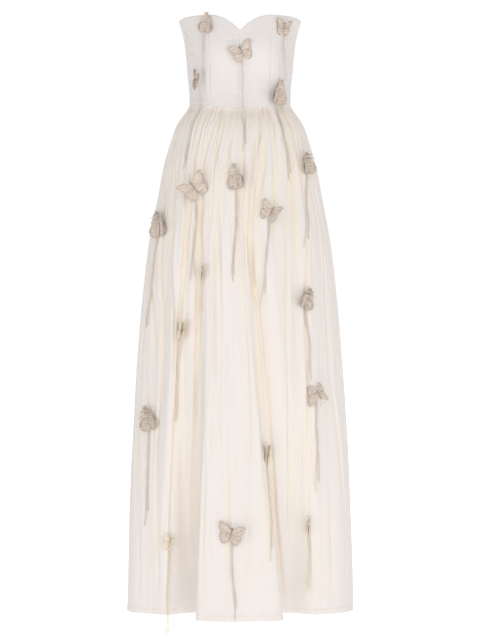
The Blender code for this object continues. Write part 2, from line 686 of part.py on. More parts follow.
def body_object(half_span):
    """The butterfly's body: a spindle along the line between its wings."""
    mesh = bpy.data.meshes.new("body")
    shape = bmesh.new()
    bmesh.ops.create_uvsphere(shape, u_segments=5, v_segments=4, radius=0.5)
    bmesh.ops.rotate(shape, verts=shape.verts, matrix=Matrix.Rotation(math.pi / 2, 3, "X"))
    size = (BODY_THICKNESS, BODY_LENGTH_SHARE * half_span * 1.25, BODY_THICKNESS)
    bmesh.ops.scale(shape, vec=size, verts=shape.verts)
    shape.to_mesh(mesh)
    shape.free()
    body = bpy.data.objects.new("butterfly_body", mesh)
    bpy.context.scene.collection.objects.link(body)
    return body


def lift_off_cloth(objects, frame, outward, cloth):
    """How far out a butterfly has to move for all of it to lie clear of the cloth."""
    needed = []
    for obj in objects:
        corners = [frame @ vertex.co for vertex in obj.data.vertices]
        middles = [frame @ face.center for face in obj.data.polygons]
        edges = [
            corners[edge.vertices[0]].lerp(corners[edge.vertices[1]], share)
            for edge in obj.data.edges
            for share in (0.25, 0.5, 0.75)
        ]
        for point in corners + middles + edges:
            reach = cloth.reach(point, outward)
            if reach is not None:
                needed.append(reach + CLEAR_OF_CLOTH - point.dot(outward))
    return max(needed) if needed else 0.0


def tail_point(root, row, side, share, outward):
    """A tail's place at a share of its length, before it is moved out to the cloth."""
    sideways = Vector((-outward.y, outward.x, 0))
    aside = row.drift * MM * share + side * (TAIL_SPACING + row.splay * MM * share) / 2
    return root + sideways * aside - Vector((0, 0, row.tail * MM * share))


def tail_path(root, row, side, outward, cloth):
    """A thread tail's points: it hangs plumb from its body, and follows cloth that comes forward."""
    sideways = Vector((-outward.y, outward.x, 0)) * TAIL_THICKNESS / 2
    off = CLEAR_OF_CLOTH + TAIL_THICKNESS / 2
    survey = np.linspace(0, 1, int(row.tail * MM / SURVEY_STEP) + 2)
    cloth_out = []
    for share in survey:
        point = tail_point(root, row, side, share, outward)
        found = [cloth.reach(point + sideways * aside, outward) for aside in (-1, 0, 1)]
        found = [reach for reach in found if reach is not None]
        cloth_out.append(max(found) + off if found else -1.0)
    cloth_out = np.array(cloth_out)
    knots = np.array(TAIL_KNOTS)
    start = root.dot(outward)
    outs = np.interp(knots, survey, np.maximum.accumulate(cloth_out))
    outs[0] = start
    for _ in range(4):
        lack = cloth_out - np.interp(survey, knots, outs)
        for index in range(1, len(knots)):
            low, high = knots[index - 1], knots[min(index + 1, len(knots) - 1)]
            near = lack[(survey >= low) & (survey <= high)]
            outs[index] += max(near.max(), 0)
    points = [tail_point(root, row, side, share, outward) for share in knots]
    return [point + outward * (out - point.dot(outward)) for point, out in zip(points, outs)]


def tail_object(points):
    """One thread tail: a square strand along its points, with closed ends."""
    curve = bpy.data.curves.new("tail", "CURVE")
    curve.dimensions = "3D"
    curve.bevel_depth = TAIL_THICKNESS / 2
    curve.bevel_resolution = 0
    curve.use_fill_caps = True
    strand = curve.splines.new("POLY")
    strand.points.add(len(points) - 1)
    for point, place in zip(strand.points, points):
        point.co = (*place, 1)
    line = bpy.data.objects.new("tail_curve", curve)
    bpy.context.scene.collection.objects.link(line)
    bpy.context.view_layer.update()
    mesh = bpy.data.meshes.new_from_object(line.evaluated_get(bpy.context.evaluated_depsgraph_get()))
    bpy.data.objects.remove(line, do_unlink=True)
    shape = bmesh.new()
    shape.from_mesh(mesh)
    bmesh.ops.remove_doubles(shape, verts=shape.verts, dist=0.01 * MM)
    bmesh.ops.recalc_face_normals(shape, faces=shape.faces)
    shape.to_mesh(mesh)
    shape.free()
    tail = bpy.data.objects.new("tail", mesh)
    bpy.context.scene.collection.objects.link(tail)
    return tail


def make_butterfly(row, cloth, material, collection):
    """One butterfly: body, two sides of wings and two thread tails, in one solid."""
    half_span = row.span * MM / 2
    place, outward = section_frame(row.turn, row.height * MM)
    facing = Matrix.Rotation(math.radians(row.swing), 3, "Z") @ outward
    sideways = Vector((-facing.y, facing.x, 0))
    roll = math.radians(row.roll)
    head = Vector((0, 0, math.cos(roll))) + sideways * math.sin(roll)
    right = head.cross(facing)
    frame = Matrix((right, head, facing)).transposed().to_4x4()
    frame.translation = place
    body = body_object(half_span)
    outline = FOLDED_WING_OUTLINE if row.folded else WING_OUTLINE
    sides = ((-1, row.left), (1, row.right))
    wings = [wing_object(outline, side, half_span, raised) for side, raised in sides]
    lift = lift_off_cloth([body, *wings], frame, outward, cloth)
    frame.translation = place + outward * lift
    for obj in (body, *wings):
        obj.data.transform(frame)
    root = frame @ Vector((0, -0.22 * half_span, 0))
    tails = [tail_object(tail_path(root, row, side, outward, cloth)) for side in (-1, 1)]
    name = f"butterfly_{row.name}"
    joined = [*wings, *tails]
    mesh = combined(name, body, joined, ["UNION"] * len(joined))
    return add_object(name, mesh, material, collection)


# ---------------------------------------------------------------- the dress


def main():
    """Build the dress."""
    clear_scene()
    dress = new_collection("maxi_dress")
    cloth_finish = finish("ivory_cloth", CLOTH_COLOUR, 0.85)
    butterfly_finish = finish("taupe_applique", BUTTERFLY_COLOUR, 0.8)
    tape_finish = finish("zip_tape", TAPE_COLOUR, 0.8)
    metal_finish = finish("zip_metal", METAL_COLOUR, 0.35, 1.0)
    panels = make_bodice(cloth_finish, dress) + make_skirt(cloth_finish, dress)
    make_zip_tape(tape_finish, dress)
    make_zip_slider(metal_finish, dress)
    make_pull_tab(metal_finish, dress)
    cloth = ClothSurface(panels)
    for row in BUTTERFLIES:
        make_butterfly(row, cloth, butterfly_finish, dress)


main()
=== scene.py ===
"""Looks of a strapless ivory maxi dress with applied butterflies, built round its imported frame.

The bodice and skirt panels are thin cloth shells on the forms of their solids, with finer gathers
and creases. Each butterfly gets curved wings, an embroidered edge, antennae and twisted tails.
Units are metres, +Z is up and the front faces -Y. Left and right are as seen from the front.
"""

import json
import logging
import math
from dataclasses import dataclass
from enum import Enum
from typing import Iterable, NamedTuple, Sequence

import bmesh
import bpy
import numpy as np
from mathutils import Matrix, Vector
from mathutils.bvhtree import BVHTree

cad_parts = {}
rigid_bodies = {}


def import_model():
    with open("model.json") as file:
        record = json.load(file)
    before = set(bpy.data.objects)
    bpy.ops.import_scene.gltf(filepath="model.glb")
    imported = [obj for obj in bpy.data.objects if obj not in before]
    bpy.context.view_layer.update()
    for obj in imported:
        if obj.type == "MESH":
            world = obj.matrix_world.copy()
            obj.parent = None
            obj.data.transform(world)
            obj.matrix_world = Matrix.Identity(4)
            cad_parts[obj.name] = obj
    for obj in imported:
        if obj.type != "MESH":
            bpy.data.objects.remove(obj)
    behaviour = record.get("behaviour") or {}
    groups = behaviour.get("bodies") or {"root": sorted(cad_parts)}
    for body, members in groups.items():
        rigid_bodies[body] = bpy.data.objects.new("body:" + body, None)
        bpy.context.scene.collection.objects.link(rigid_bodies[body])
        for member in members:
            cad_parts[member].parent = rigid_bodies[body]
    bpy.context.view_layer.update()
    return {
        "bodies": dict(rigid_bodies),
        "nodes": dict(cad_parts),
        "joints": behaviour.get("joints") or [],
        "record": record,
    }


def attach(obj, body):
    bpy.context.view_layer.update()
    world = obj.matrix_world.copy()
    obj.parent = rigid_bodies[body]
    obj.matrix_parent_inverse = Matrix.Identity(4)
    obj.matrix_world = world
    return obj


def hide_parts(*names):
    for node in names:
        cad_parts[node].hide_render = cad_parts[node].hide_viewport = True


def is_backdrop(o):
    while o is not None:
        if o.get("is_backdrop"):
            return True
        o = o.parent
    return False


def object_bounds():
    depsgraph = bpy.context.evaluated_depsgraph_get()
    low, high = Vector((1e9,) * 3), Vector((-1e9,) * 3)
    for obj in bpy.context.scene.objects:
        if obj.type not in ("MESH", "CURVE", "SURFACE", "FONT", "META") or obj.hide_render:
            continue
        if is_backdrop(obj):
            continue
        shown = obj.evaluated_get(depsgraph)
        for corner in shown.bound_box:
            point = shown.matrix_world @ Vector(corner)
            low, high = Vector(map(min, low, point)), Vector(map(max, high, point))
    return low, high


logging.basicConfig(level=logging.INFO, format="%(name)s: %(message)s")
LOG = logging.getLogger("dress")

MM = 0.001
TINY = 1e-12
Triple = tuple[float, float, float]
Colour = Triple
Array = np.ndarray
Faces = list[tuple[int, ...]]
Socket = bpy.types.NodeSocket
Values = dict[str, object]

# Driving sizes, as on the solids
SEAM_GAP = 0.3 * MM
ZIP_SLOT = 1.2 * MM
ZIP_BELOW_WAIST = 190 * MM
WAIST_SIDE_HEIGHT = 8 * MM
WAIST_FRONT_HEIGHT = -5 * MM
NECK_DIP_HEIGHT = 165.5 * MM
NECK_PEAK_HEIGHT = 203 * MM
NECK_PEAK_ACROSS = 74 * MM
NECK_PEAK_TURN = math.radians(33)
NECK_SIDE_HEIGHT = 195.5 * MM
NECK_BACK_HEIGHT = 185 * MM
CUP_ACROSS = 58 * MM
CUP_HEIGHT = 125 * MM
CUP_RADIUS = 34 * MM
CUP_FULLNESS = 14 * MM
SKIRT_LENGTH = 1152 * MM
HEM_RISE_SHARE = 0.05


def table(kind: type, *rows: tuple) -> tuple:
    """The rows of a table, each made from its plain values."""
    return tuple(kind(*row) for row in rows)


class BodiceSection(NamedTuple):
    """A plain section of the bodice, in millimetres."""

    height: float
    half_width: float
    depth_front: float
    depth_back: float


BODICE_SECTIONS = table(
    BodiceSection,
    (-10, 116, 85, 85), (25, 116, 87, 84), (45, 117, 90, 85), (82, 121, 95, 87),
    (118, 124, 98, 91), (155, 129, 101, 95), (182, 135.5, 102, 97), (204, 143, 101, 98),
)


class Seam(NamedTuple):
    """A bodice seam: its angle at the waist and at the top, in degrees round from the front."""

    waist_turn: float
    top_turn: float


class BodicePanel(NamedTuple):
    """A bodice panel between two seams, and its flat cut in metres and square metres."""

    name: str
    left: Seam
    right: Seam
    columns: int
    flat: tuple[float, float]
    area: float


BODICE_PANELS = (
    BodicePanel("bodice_front", Seam(-37, -33), Seam(37, 33), 96, (0.190, 0.212), 0.0310),
    BodicePanel("bodice_side_front_left", Seam(-90, -90), Seam(-37, -33), 56, (0.118, 0.210), 0.0215),
    BodicePanel("bodice_side_front_right", Seam(37, 33), Seam(90, 90), 56, (0.118, 0.210), 0.0215),
    BodicePanel("bodice_side_back_left", Seam(-141, -139), Seam(-90, -90), 40, (0.097, 0.193), 0.0168),
    BodicePanel("bodice_side_back_right", Seam(90, 90), Seam(141, 139), 40, (0.097, 0.193), 0.0168),
    BodicePanel("bodice_back_left", Seam(-180, -180), Seam(-141, -139), 36, (0.098, 0.187), 0.0155),
    BodicePanel("bodice_back_right", Seam(141, 139), Seam(180, 180), 36, (0.098, 0.187), 0.0155),
)


class SkirtSection(NamedTuple):
    """A plain section of the skirt, in millimetres."""

    drop: float
    half_width: float
    half_depth: float


SKIRT_SECTIONS = table(
    SkirtSection,
    (0, 116, 85), (10, 120, 89), (25, 131, 99), (48, 146, 111),
    (80, 158, 121), (136, 175, 136), (218, 191, 151), (301, 208, 164),
    (439, 225, 177), (605, 239, 189), (826, 253, 201), (1152, 262, 208),
)

FOLD_DROPS = (0, 215, 560, 1152)


class FoldLine(NamedTuple):
    """A line of the cloth from waist to hem: its angle and its inset at three heights."""

    name: str
    hip_turn: float
    thigh_turn: float
    hem_turn: float
    hip_in: float
    thigh_in: float
    hem_in: float


FOLD_LINES = table(
    FoldLine,
    ("left_side_seam", -90, -91, -91, 0, 0, 0),
    ("left_side_ridge", -80, -79, -78, 0, 0, 4),
    ("left_broad_slope", -68, -66, -70, 4, 9, 20),
    ("left_broad_valley", -57, -54, -62, 7, 17, 34),
    ("left_broad_rise", -49, -46, -54.5, 5, 8, 36),
    ("left_recess_outer_lip", -43, -40, -48.5, -2, -3, 38),
    ("left_recess_outer_foot", -38, -36.5, -47.5, 10, 26, 98),
    ("left_recess_floor", -33, -31, -37, 2, 12, 104),
    ("left_recess_inner_foot", -27, -25, -25, 13, 30, 92),
    ("front_panel_left_lip", -20, -19, -25.3, -3, -4, -8),
    ("front_panel_left_dent", -14.5, -11.5, -14, 6, 8, 4),
    ("front_panel_ridge", -7, -5, -5, -1, -1, -2),
    ("front_panel_right_dent", 2.5, 2.5, 5, 7, 10, 7),
    ("front_panel_right_lip", 6, 7.5, 26.3, 0, -2, -8),
    ("right_recess_inner_foot", 10, 12, 25, 15, 31, 88),
    ("right_recess_floor", 18, 20, 32, -2, 5, 96),
    ("right_recess_rise", 28, 29, 39, 6, 10, 98),
    ("right_recess_outer_foot", 44, 39, 47.5, 10, 20, 92),
    ("right_recess_outer_lip", 50, 44, 48.5, -1, -2, 46),
    ("right_side_dent", 59, 60, 58, 5, 11, 36),
    ("right_side_ridge", 68, 68, 68, -1, 1, 18),
    ("right_side_valley", 79, 78, 79, 3, 6, 8),
    ("right_side_seam", 90, 90, 91, 0, 0, -1),
    ("back_right_shoulder", 98, 98, 98, 2, 4, 0),
    ("back_right_slope", 106, 107, 109, 6, 12, 18),
    ("back_right_ridge", 114, 115, 120, -1, -1, -7),
    ("back_right_fold_lip", 121, 123, 130, 4, 8, 2),
    ("back_right_fold_foot", 128, 130, 129, 11, 26, 82),
    ("back_right_fold_floor", 136, 137, 137, 4, 13, 90),
    ("back_right_inner_foot", 144, 145, 146, 12, 27, 84),
    ("back_right_inner_lip", 151, 151, 144, -1, -2, -8),
    ("back_right_dent", 161, 160, 157, 3, 7, 5),
    ("back_right_centre_ridge", 171, 170, 169, 0, -1, -3),
    ("centre_back_seam", 180, 180, 181, 0, 6, 10),
    ("back_left_centre_ridge", 189, 189, 192, 0, -1, -4),
    ("back_left_dent", 198, 199, 202, 3, 9, 8),
    ("back_left_inner_lip", 207, 208, 214, -1, -3, -8),
    ("back_left_inner_foot", 214, 215, 212.5, 11, 24, 78),
    ("back_left_fold_floor", 222, 222, 221, 3, 11, 86),
    ("back_left_fold_foot", 230, 230, 230.5, 10, 25, 80),
    ("back_left_fold_lip", 238, 237, 229, -1, -2, -8),
    ("back_left_slope", 246, 245, 242, 5, 10, 9),
    ("back_left_ridge", 254, 254, 252, -1, 0, -2),
    ("back_left_shoulder", 262, 262, 261, 3, 7, 6),
)


class GatherSize(NamedTuple):
    """How high the gathers stand at a drop below the waist, in millimetres."""

    drop: float
    fine: float
    merged: float


GATHER_SIZES = table(
    GatherSize,
    (0, 0.5, 0), (14, 2.2, 0), (55, 2.6, 0.6), (90, 2.0, 1.8),
    (135, 1.1, 2.6), (190, 0.4, 2.4), (350, 0, 1.0), (560, 0, 0),
)


class Crease(NamedTuple):
    """A soft trough down the skirt, or a ridge where its depth is negative.

    Lines count the fold lines round from the left side seam, at the crease's top, middle and
    bottom. Drops and sizes are millimetres. lean raises a soft ridge beside the trough, on the
    right where it is positive.
    """

    top_drop: float
    bottom_drop: float
    top_line: float
    middle_line: float
    bottom_line: float
    width: float
    depth: float
    lean: float


SKIRT_CREASES = table(
    Crease,
    (143, 557, 7.55, 8.25, 7.79, 4.2, 3.2, 0.5), (499, 996, 7.92, 7.24, 6.58, 4.5, 3.4, -0.4),
    (59, 421, 12.85, 13.44, 13.80, 4.2, 4.4, 0.5), (368, 781, 13.91, 14.19, 14.41, 4.6, 3.4, -0.5),
    (722, 1132, 14.45, 14.72, 15.99, 4.4, 2.6, 0.4), (104, 424, 4.86, 5.66, 5.80, 4, 3.4, -0.4),
    (388, 738, 5.79, 5.47, 5.37, 3.6, 3, 0.4), (688, 1125, 5.37, 5.16, 4.93, 3.4, 2.4, -0.3),
    (100, 469, 2.79, 3.91, 4.59, 3.4, 3, 0.4), (78, 524, 8.90, 10.14, 10.12, 3.8, 2.6, 0.5),
    (480, 852, 10.12, 9.98, 10.27, 4.6, 1.9, -0.4), (78, 519, 11.73, 12.22, 12.07, 3.6, 3, -0.5),
    (488, 866, 12.33, 12.29, 11.98, 4, 2.4, 0.4), (826, 1118, 12.02, 11.90, 11.85, 4.4, 1.9, -0.3),
    (228, 575, 16.51, 16.24, 15.88, 4.8, 2.6, 0.4), (535, 1003, 15.92, 15.97, 16.20, 4.6, 2.6, -0.4),
    (259, 617, 18.11, 17.49, 17.51, 4.8, 3, 0.4), (559, 910, 17.59, 17.58, 17.65, 4.8, 2.5, -0.4),
    (865, 1133, 17.58, 17.80, 18.06, 4.2, 2, 0.3), (278, 638, 19.93, 19.35, 19.28, 5, 2.2, -0.4),
    (611, 966, 19.32, 20.16, 20.69, 5.6, 2.4, 0.4), (277, 606, 0.33, 1.95, 2.62, 5.6, 3, 0.4),
    (323, 708, 2.29, 3.15, 3.44, 6, 3.4, -0.4), (572, 959, 1.72, 2.25, 2.40, 6, 2.6, 0.3),
    (727, 1124, 2.99, 3.51, 3.81, 5, 2, -0.3), (620, 783, 7.52, 7.46, 7.17, 2.4, 1.4, 0.3),
    (296, 897, 9.42, 9.55, 10.07, 4.6, -1.8, 0.01), (318, 724, 11.36, 11.21, 11.17, 5, -1.3, 0.01),
    (120, 408, 14.40, 15.01, 14.85, 5, -1.5, 0.01), (440, 836, 15.43, 15.35, 15.51, 5, -1.3, 0.01),
    (777, 1139, 10.81, 10.97, 11.05, 4, 1.3, 0.4), (830, 1145, 9.64, 9.78, 9.87, 4, 1.4, -0.4),
    (910, 1145, 12.54, 12.43, 12.35, 3.6, 1.3, 0.3), (840, 1135, 19.09, 19.34, 19.58, 4.2, 2, -0.3),
    (834, 1137, 1.73, 1.83, 1.90, 4.2, 1.6, 0.3), (616, 994, 16.65, 16.74, 16.98, 4.6, -1.1, 0.01),
    (502, 907, 18.62, 18.49, 18.60, 4, 1.5, 0.3), (103, 359, 0.25, 2.15, 2.54, 3.8, 2.4, 0.4),
    (81, 356, 5.85, 6.98, 7.22, 3.2, 2, -0.4), (82, 332, 10.21, 11.04, 11.28, 3.4, 2, 0.4),
    (75, 328, 15.06, 15.55, 15.57, 3.6, 2.2, -0.4), (86, 375, 17.10, 16.99, 16.90, 3.8, 2.4, 0.4),
    (105, 300, 18.70, 18.73, 18.65, 3.6, 1.8, -0.3), (236, 506, 12.60, 13.80, 13.52, 9, 2.5, 0.3),
    (468, 774, 13.50, 13.50, 13.52, 10, 3.6, -0.3), (356, 603, 5.68, 5.69, 5.55, 6, 2.2, 0.3),
    (576, 789, 5.53, 5.45, 5.33, 7, 2.2, -0.3), (751, 972, 13.23, 13.09, 12.77, 7, 1.8, 0.3),
    (227, 406, 7.81, 8.00, 8.12, 3.4, 2.4, 0.4), (286, 439, 13.96, 13.88, 13.69, 3.4, 2.2, 0.5),
    (299, 710, 3.85, 5.03, 5.11, 3, 4.2, 0.5), (273, 750, 9.83, 9.66, 9.74, 3.4, 2.6, 0.4),
    (369, 733, 7.65, 7.55, 7.21, 3, 3.6, -0.4), (228, 479, 13.68, 13.88, 13.50, 2.8, 1.8, 0.5),
    (754, 1122, 14.60, 14.92, 16.08, 3.4, 2.6, 0.4), (511, 1029, 2.99, 3.13, 3.37, 4.2, 2.4, -0.4),
    (442, 982, 17.53, 17.72, 18.11, 4.6, 2, 0.4), (304, 727, 11.36, 11.09, 10.98, 4, 1.7, -0.3),
    (706, 1103, 10.59, 10.75, 10.94, 4.4, 2, 0.3), (729, 1114, 9.11, 9.34, 9.48, 4, 2.4, -0.3),
    (685, 1060, 13.77, 12.78, 12.51, 12, 1.3, 0.3), (733, 1100, 5.91, 6.16, 6.20, 10, 1.2, 0.3),
    (60, 460, 0.8, 1.0, 0.7, 5, 2.6, 0.4), (320, 1000, 1.4, 1.2, 1.6, 5.5, 2.2, -0.3),
    (70, 430, 20.9, 21.1, 20.8, 5, 2.6, -0.4), (280, 930, 21.3, 21.1, 21.4, 5.5, 2.2, 0.3),
    (40, 420, 23.3, 23.5, 23.2, 5, 3, 0.4), (90, 610, 24.6, 24.4, 24.8, 6, 3.5, -0.4),
    (300, 980, 23.8, 24.0, 23.6, 5.5, 2.4, 0.3), (60, 350, 25.5, 25.7, 25.4, 4.5, 3, 0.5),
    (140, 760, 26.6, 26.5, 26.7, 6, 3, -0.3), (500, 1130, 25.4, 25.6, 25.3, 5, 2, 0.3),
    (30, 300, 27.7, 27.9, 27.6, 4, 3, 0.4), (250, 900, 28.4, 28.2, 28.6, 5, 2.5, -0.4),
    (70, 520, 29.3, 29.5, 29.1, 4.5, 3, 0.4), (180, 820, 30.4, 30.3, 30.6, 5, 2.6, 0.3),
    (620, 1140, 30.2, 30.4, 30.0, 5, 1.8, -0.3), (50, 380, 31.2, 31.3, 31.4, 4.5, 2.8, -0.4),
    (240, 960, 31.9, 32.1, 31.8, 5, 2.2, 0.3), (200, 700, 34.1, 34.0, 34.3, 5, 2.4, 0.3),
    (40, 330, 34.9, 35.1, 34.8, 4.5, 3, -0.4), (330, 1080, 35.3, 35.1, 35.5, 5, 2.2, 0.3),
    (80, 560, 36.3, 36.2, 36.5, 4.5, 3, 0.4), (30, 290, 37.4, 37.2, 37.5, 4, 3, -0.4),
    (220, 860, 38.3, 38.5, 38.2, 5, 2.6, 0.3), (110, 640, 39.2, 39.0, 39.4, 5, 3, -0.4),
    (560, 1140, 39.6, 39.8, 39.5, 5, 2, 0.3), (50, 410, 40.3, 40.5, 40.2, 4.5, 3, 0.4),
    (300, 940, 41.1, 40.9, 41.3, 5.5, 2.6, -0.3), (90, 600, 42.2, 42.4, 42.1, 5, 3, 0.4),
    (40, 340, 43.2, 43.1, 43.4, 4.5, 2.8, -0.4), (430, 1060, 43.0, 43.2, 42.8, 5.5, 2.2, 0.3),
)


class BodiceCrease(NamedTuple):
    """A soft wrinkle of the bodice, between two places given by degrees round and height in mm."""

    start_turn: float
    start_height: float
    end_turn: float
    end_height: float
    width: float
    depth: float


BODICE_CREASES = table(
    BodiceCrease,
    (-17, 141, -2, 146, 2.2, 0.55), (-14, 133, 2, 137, 2.0, 0.45),
    (-18, 125, -4, 128, 2.6, 0.45), (3, 147, 15, 143, 2.2, 0.40),
    (-78, 176, -56, 150, 3.0, 0.90), (-74, 160, -54, 136, 2.6, 0.70),
    (-70, 186, -58, 176, 2.4, 0.60), (-66, 128, -50, 112, 3.2, 0.50),
    (58, 152, 76, 172, 2.8, 0.60), (50, 150, 51, 24, 5.0, 0.80),
    (-47, 110, -45, 18, 5.5, 0.70), (-28, 30, 6, 24, 4.0, 0.35),
    (14, 40, 32, 33, 4.0, 0.35), (-86, 66, -62, 58, 3.4, 0.50),
    (64, 62, 88, 70, 3.4, 0.50), (96, 140, 126, 128, 3.6, 0.60),
    (102, 92, 132, 84, 3.4, 0.50), (-126, 134, -98, 146, 3.6, 0.60),
    (-134, 80, -104, 90, 3.4, 0.50), (150, 60, 172, 52, 3.6, 0.50),
    (-172, 66, -148, 58, 3.6, 0.50),
)


class Butterfly(NamedTuple):
    """A butterfly's place and pose, as on its solid. Lengths are millimetres, angles degrees."""

    name: str
    turn: float
    height: float
    span: float
    roll: float
    swing: float
    left: float
    right: float
    tail: float
    drift: float
    splay: float
    folded: bool = False


BUTTERFLIES = table(
    Butterfly,
    ("left_neckline", -33.5, 187, 53, 6, 12, 49, 25, 136, -15, 2, True),
    ("right_neckline", 46.9, 177, 46, 10, -51, 53, 31, 123, 9, 2),
    ("centre_bodice", 1, 119, 53, -23, 20, 4, 20, 221, 7, 1),
    ("left_waist", -49.4, 59, 57, 8, 40, 64, 100, 201, 0, 3),
    ("right_waist", 45.7, 33, 67, 17, -9, 43, 26, 199, 0, 4, True),
    ("left_hip", -32.2, -188, 66, -38, 41, 6, 12, 206, -1, 7),
    ("centre_hip", -2, -163, 66, -11, -20, 18, 35, 232, -10, 2, True),
    ("right_front", 20.7, -244, 55, 25, -29, 8, 31, 209, -25, 3),
    ("right_side_hip", 59.2, -129, 58, -6, -29, 44, 34, 189, -39, 12, True),
    ("left_side_hip", -65.9, -266, 71, -11, 14, 28, 17, 231, -20, 4, True),
    ("right_thigh", 42.2, -436, 57, 22, -3, 28, 21, 187, 6, 5, True),
    ("right_knee", 46.9, -652, 57, 159, -49, 47, 9, 228, 4, 8),
    ("left_recess_high", -35.5, -507, 56, 10, 25, 70, 75, 202, -14, 3),
    ("left_recess_hip", -23, -379, 44, 6, 14, 80, 78, 90, 0, 2),
    ("left_side_knee", -62.2, -707, 66, -20, 21, 49, 15, 240, -6, 8, True),
    ("left_recess_low", -43.5, -985, 44, 18, 30, 40, 62, 209, -7, 3),
    ("centre_shin", -4.2, -957, 59, 12, -12, 5, 5, 187, 12, 2),
    ("right_recess_knee", 16, -781, 54, 6, -10, 78, 76, 233, 2, 2),
    ("right_shin", 43.8, -946, 48, 4, -42, 84, 82, 150, 2, 2),
    ("back_left_shoulder", 222, 118, 56, -16, 0, 22, 30, 196, 4, 3),
    ("back_right_hip", 152, -150, 58, 12, 0, 26, 20, 200, -6, 4),
    ("back_left_hip", 240, -330, 56, -34, 0, 24, 48, 196, 8, 4),
    ("back_right_thigh", 118, -520, 58, 28, 0, 30, 110, 190, -4, 6),
    ("back_centre_knee", 190, -640, 60, -10, 0, 18, 22, 210, 6, 3),
    ("back_right_shin", 164, -905, 56, 40, 0, 20, 42, 176, -8, 4),
)


# Butterflies half hidden in the deep folds, with lighter copies of the finishes: painted light against the
# shade there
PAINTED_LIGHT_BUTTERFLIES = (
    "left_recess_high", "left_recess_hip", "left_recess_low", "right_recess_knee", "right_shin",
)
# Butterflies whose folded wings are rolled over at the top
CURLED_BUTTERFLIES = ("right_side_hip", "left_side_hip", "right_thigh", "left_side_knee")


# ---------------------------------------------------------------- curves through the tables


def smooth_through(stations: Sequence[float], values: Array, at: Array) -> Array:
    """Values on a smooth curve through a table's rows.

    Args:
        stations: where the rows stand, in rising order.
        values: one value, or one row of values, for each station.
        at: the places asked for.

    Returns:
        The values at those places.
    """
    stations = np.asarray(stations, float)
    values = np.asarray(values, float)
    slopes = np.gradient(values, stations, axis=0)
    at = np.clip(np.asarray(at, float), stations[0], stations[-1])
    left = np.clip(np.searchsorted(stations, at, side="right") - 1, 0, len(stations) - 2)
    step = stations[left + 1] - stations[left]
    share = (at - stations[left]) / step
    shape = share.shape + (1,) * (values.ndim - 1)
    share, step = share.reshape(shape), step.reshape(shape)
    start = (2 * share**3 - 3 * share**2 + 1) * values[left]
    leave = (share**3 - 2 * share**2 + share) * step * slopes[left]
    end = (3 * share**2 - 2 * share**3) * values[left + 1]
    arrive = (share**3 - share**2) * step * slopes[left + 1]
    return start + leave + end + arrive


def column(rows: Iterable[NamedTuple], name: str) -> Array:
    """One named column of a table, as an array."""
    return np.array([getattr(row, name) for row in rows], float)


def closed_spline(rings: Array, samples: int) -> Array:
    """Smooth closed rings near their control points.

    Args:
        rings: control points, rings along axis 0 and points along axis 1.
        samples: points between one control point and the next.

    Returns:
        The rings of a uniform cubic B-spline.
    """
    near = (np.roll(rings, 1, axis=1), rings, np.roll(rings, -1, axis=1), np.roll(rings, -2, axis=1))
    parts = []
    for sample in range(samples):
        t = sample / samples
        weights = ((1 - t) ** 3, 3 * t**3 - 6 * t**2 + 4, -3 * t**3 + 3 * t**2 + 3 * t + 1, t**3)
        parts.append(sum(weight * points for weight, points in zip(weights, near)) / 6)
    return np.stack(parts, axis=2).reshape(rings.shape[0], -1, rings.shape[2])


def between(values: Array, places: Array) -> Array:
    """A closed row of values, joined by half cosine waves, at fractional places."""
    low = np.floor(places).astype(int)
    share = (1 - np.cos(math.pi * (places - low))) / 2
    count = len(values)
    return values[low % count] * (1 - share) + values[(low + 1) % count] * share


def ease(share: Array) -> Array:
    """A smooth step from 0 to 1."""
    share = np.clip(share, 0, 1)
    return share * share * (3 - 2 * share)


def unit(vectors: Array) -> Array:
    """Vectors along the last axis, each made one long."""
    return vectors / np.maximum(np.linalg.norm(vectors, axis=-1, keepdims=True), TINY)


def grid_normals(grid: Array) -> Array:
    """Unit normals of a grid of points whose rows run down and columns run round."""
    return unit(np.cross(np.gradient(grid, axis=0), np.gradient(grid, axis=1)))


def arc_along(line: Array) -> Array:
    """Arc length from a line's first point to each of its points."""
    return np.concatenate([[0], np.cumsum(np.linalg.norm(np.diff(line, axis=0), axis=1))])


def along_line(at: Array, far: Array, values: Array) -> Array:
    """Rows of values at arc lengths along a line, where far gives the arc length of each row."""
    return np.stack([np.interp(at, far, values[:, axis]) for axis in range(values.shape[1])], axis=-1)


def arc_round(grid: Array) -> Array:
    """Arc length round each row of a grid, from the row's first point."""
    steps = np.linalg.norm(np.diff(grid, axis=1), axis=-1)
    return np.concatenate([np.zeros((len(grid), 1)), np.cumsum(steps, axis=1)], axis=1)


def sections(line: Array, first: Array, second: Array, angle: Array, radius: Array) -> Array:
    """Points of a round section about each point of a line, between two crossways directions."""
    ring = first[:, None] * np.cos(angle)[..., None] + second[:, None] * np.sin(angle)[..., None]
    return (line[:, None] + ring * radius[:, None, None]).reshape(-1, 3)


def waist_height(turn: Array) -> Array:
    """Height of the waist seam at an angle round it, in radians."""
    front = np.clip(np.cos(turn), 0, 1) ** 2
    return WAIST_SIDE_HEIGHT + (WAIST_FRONT_HEIGHT - WAIST_SIDE_HEIGHT) * front


# ---------------------------------------------------------------- finishes


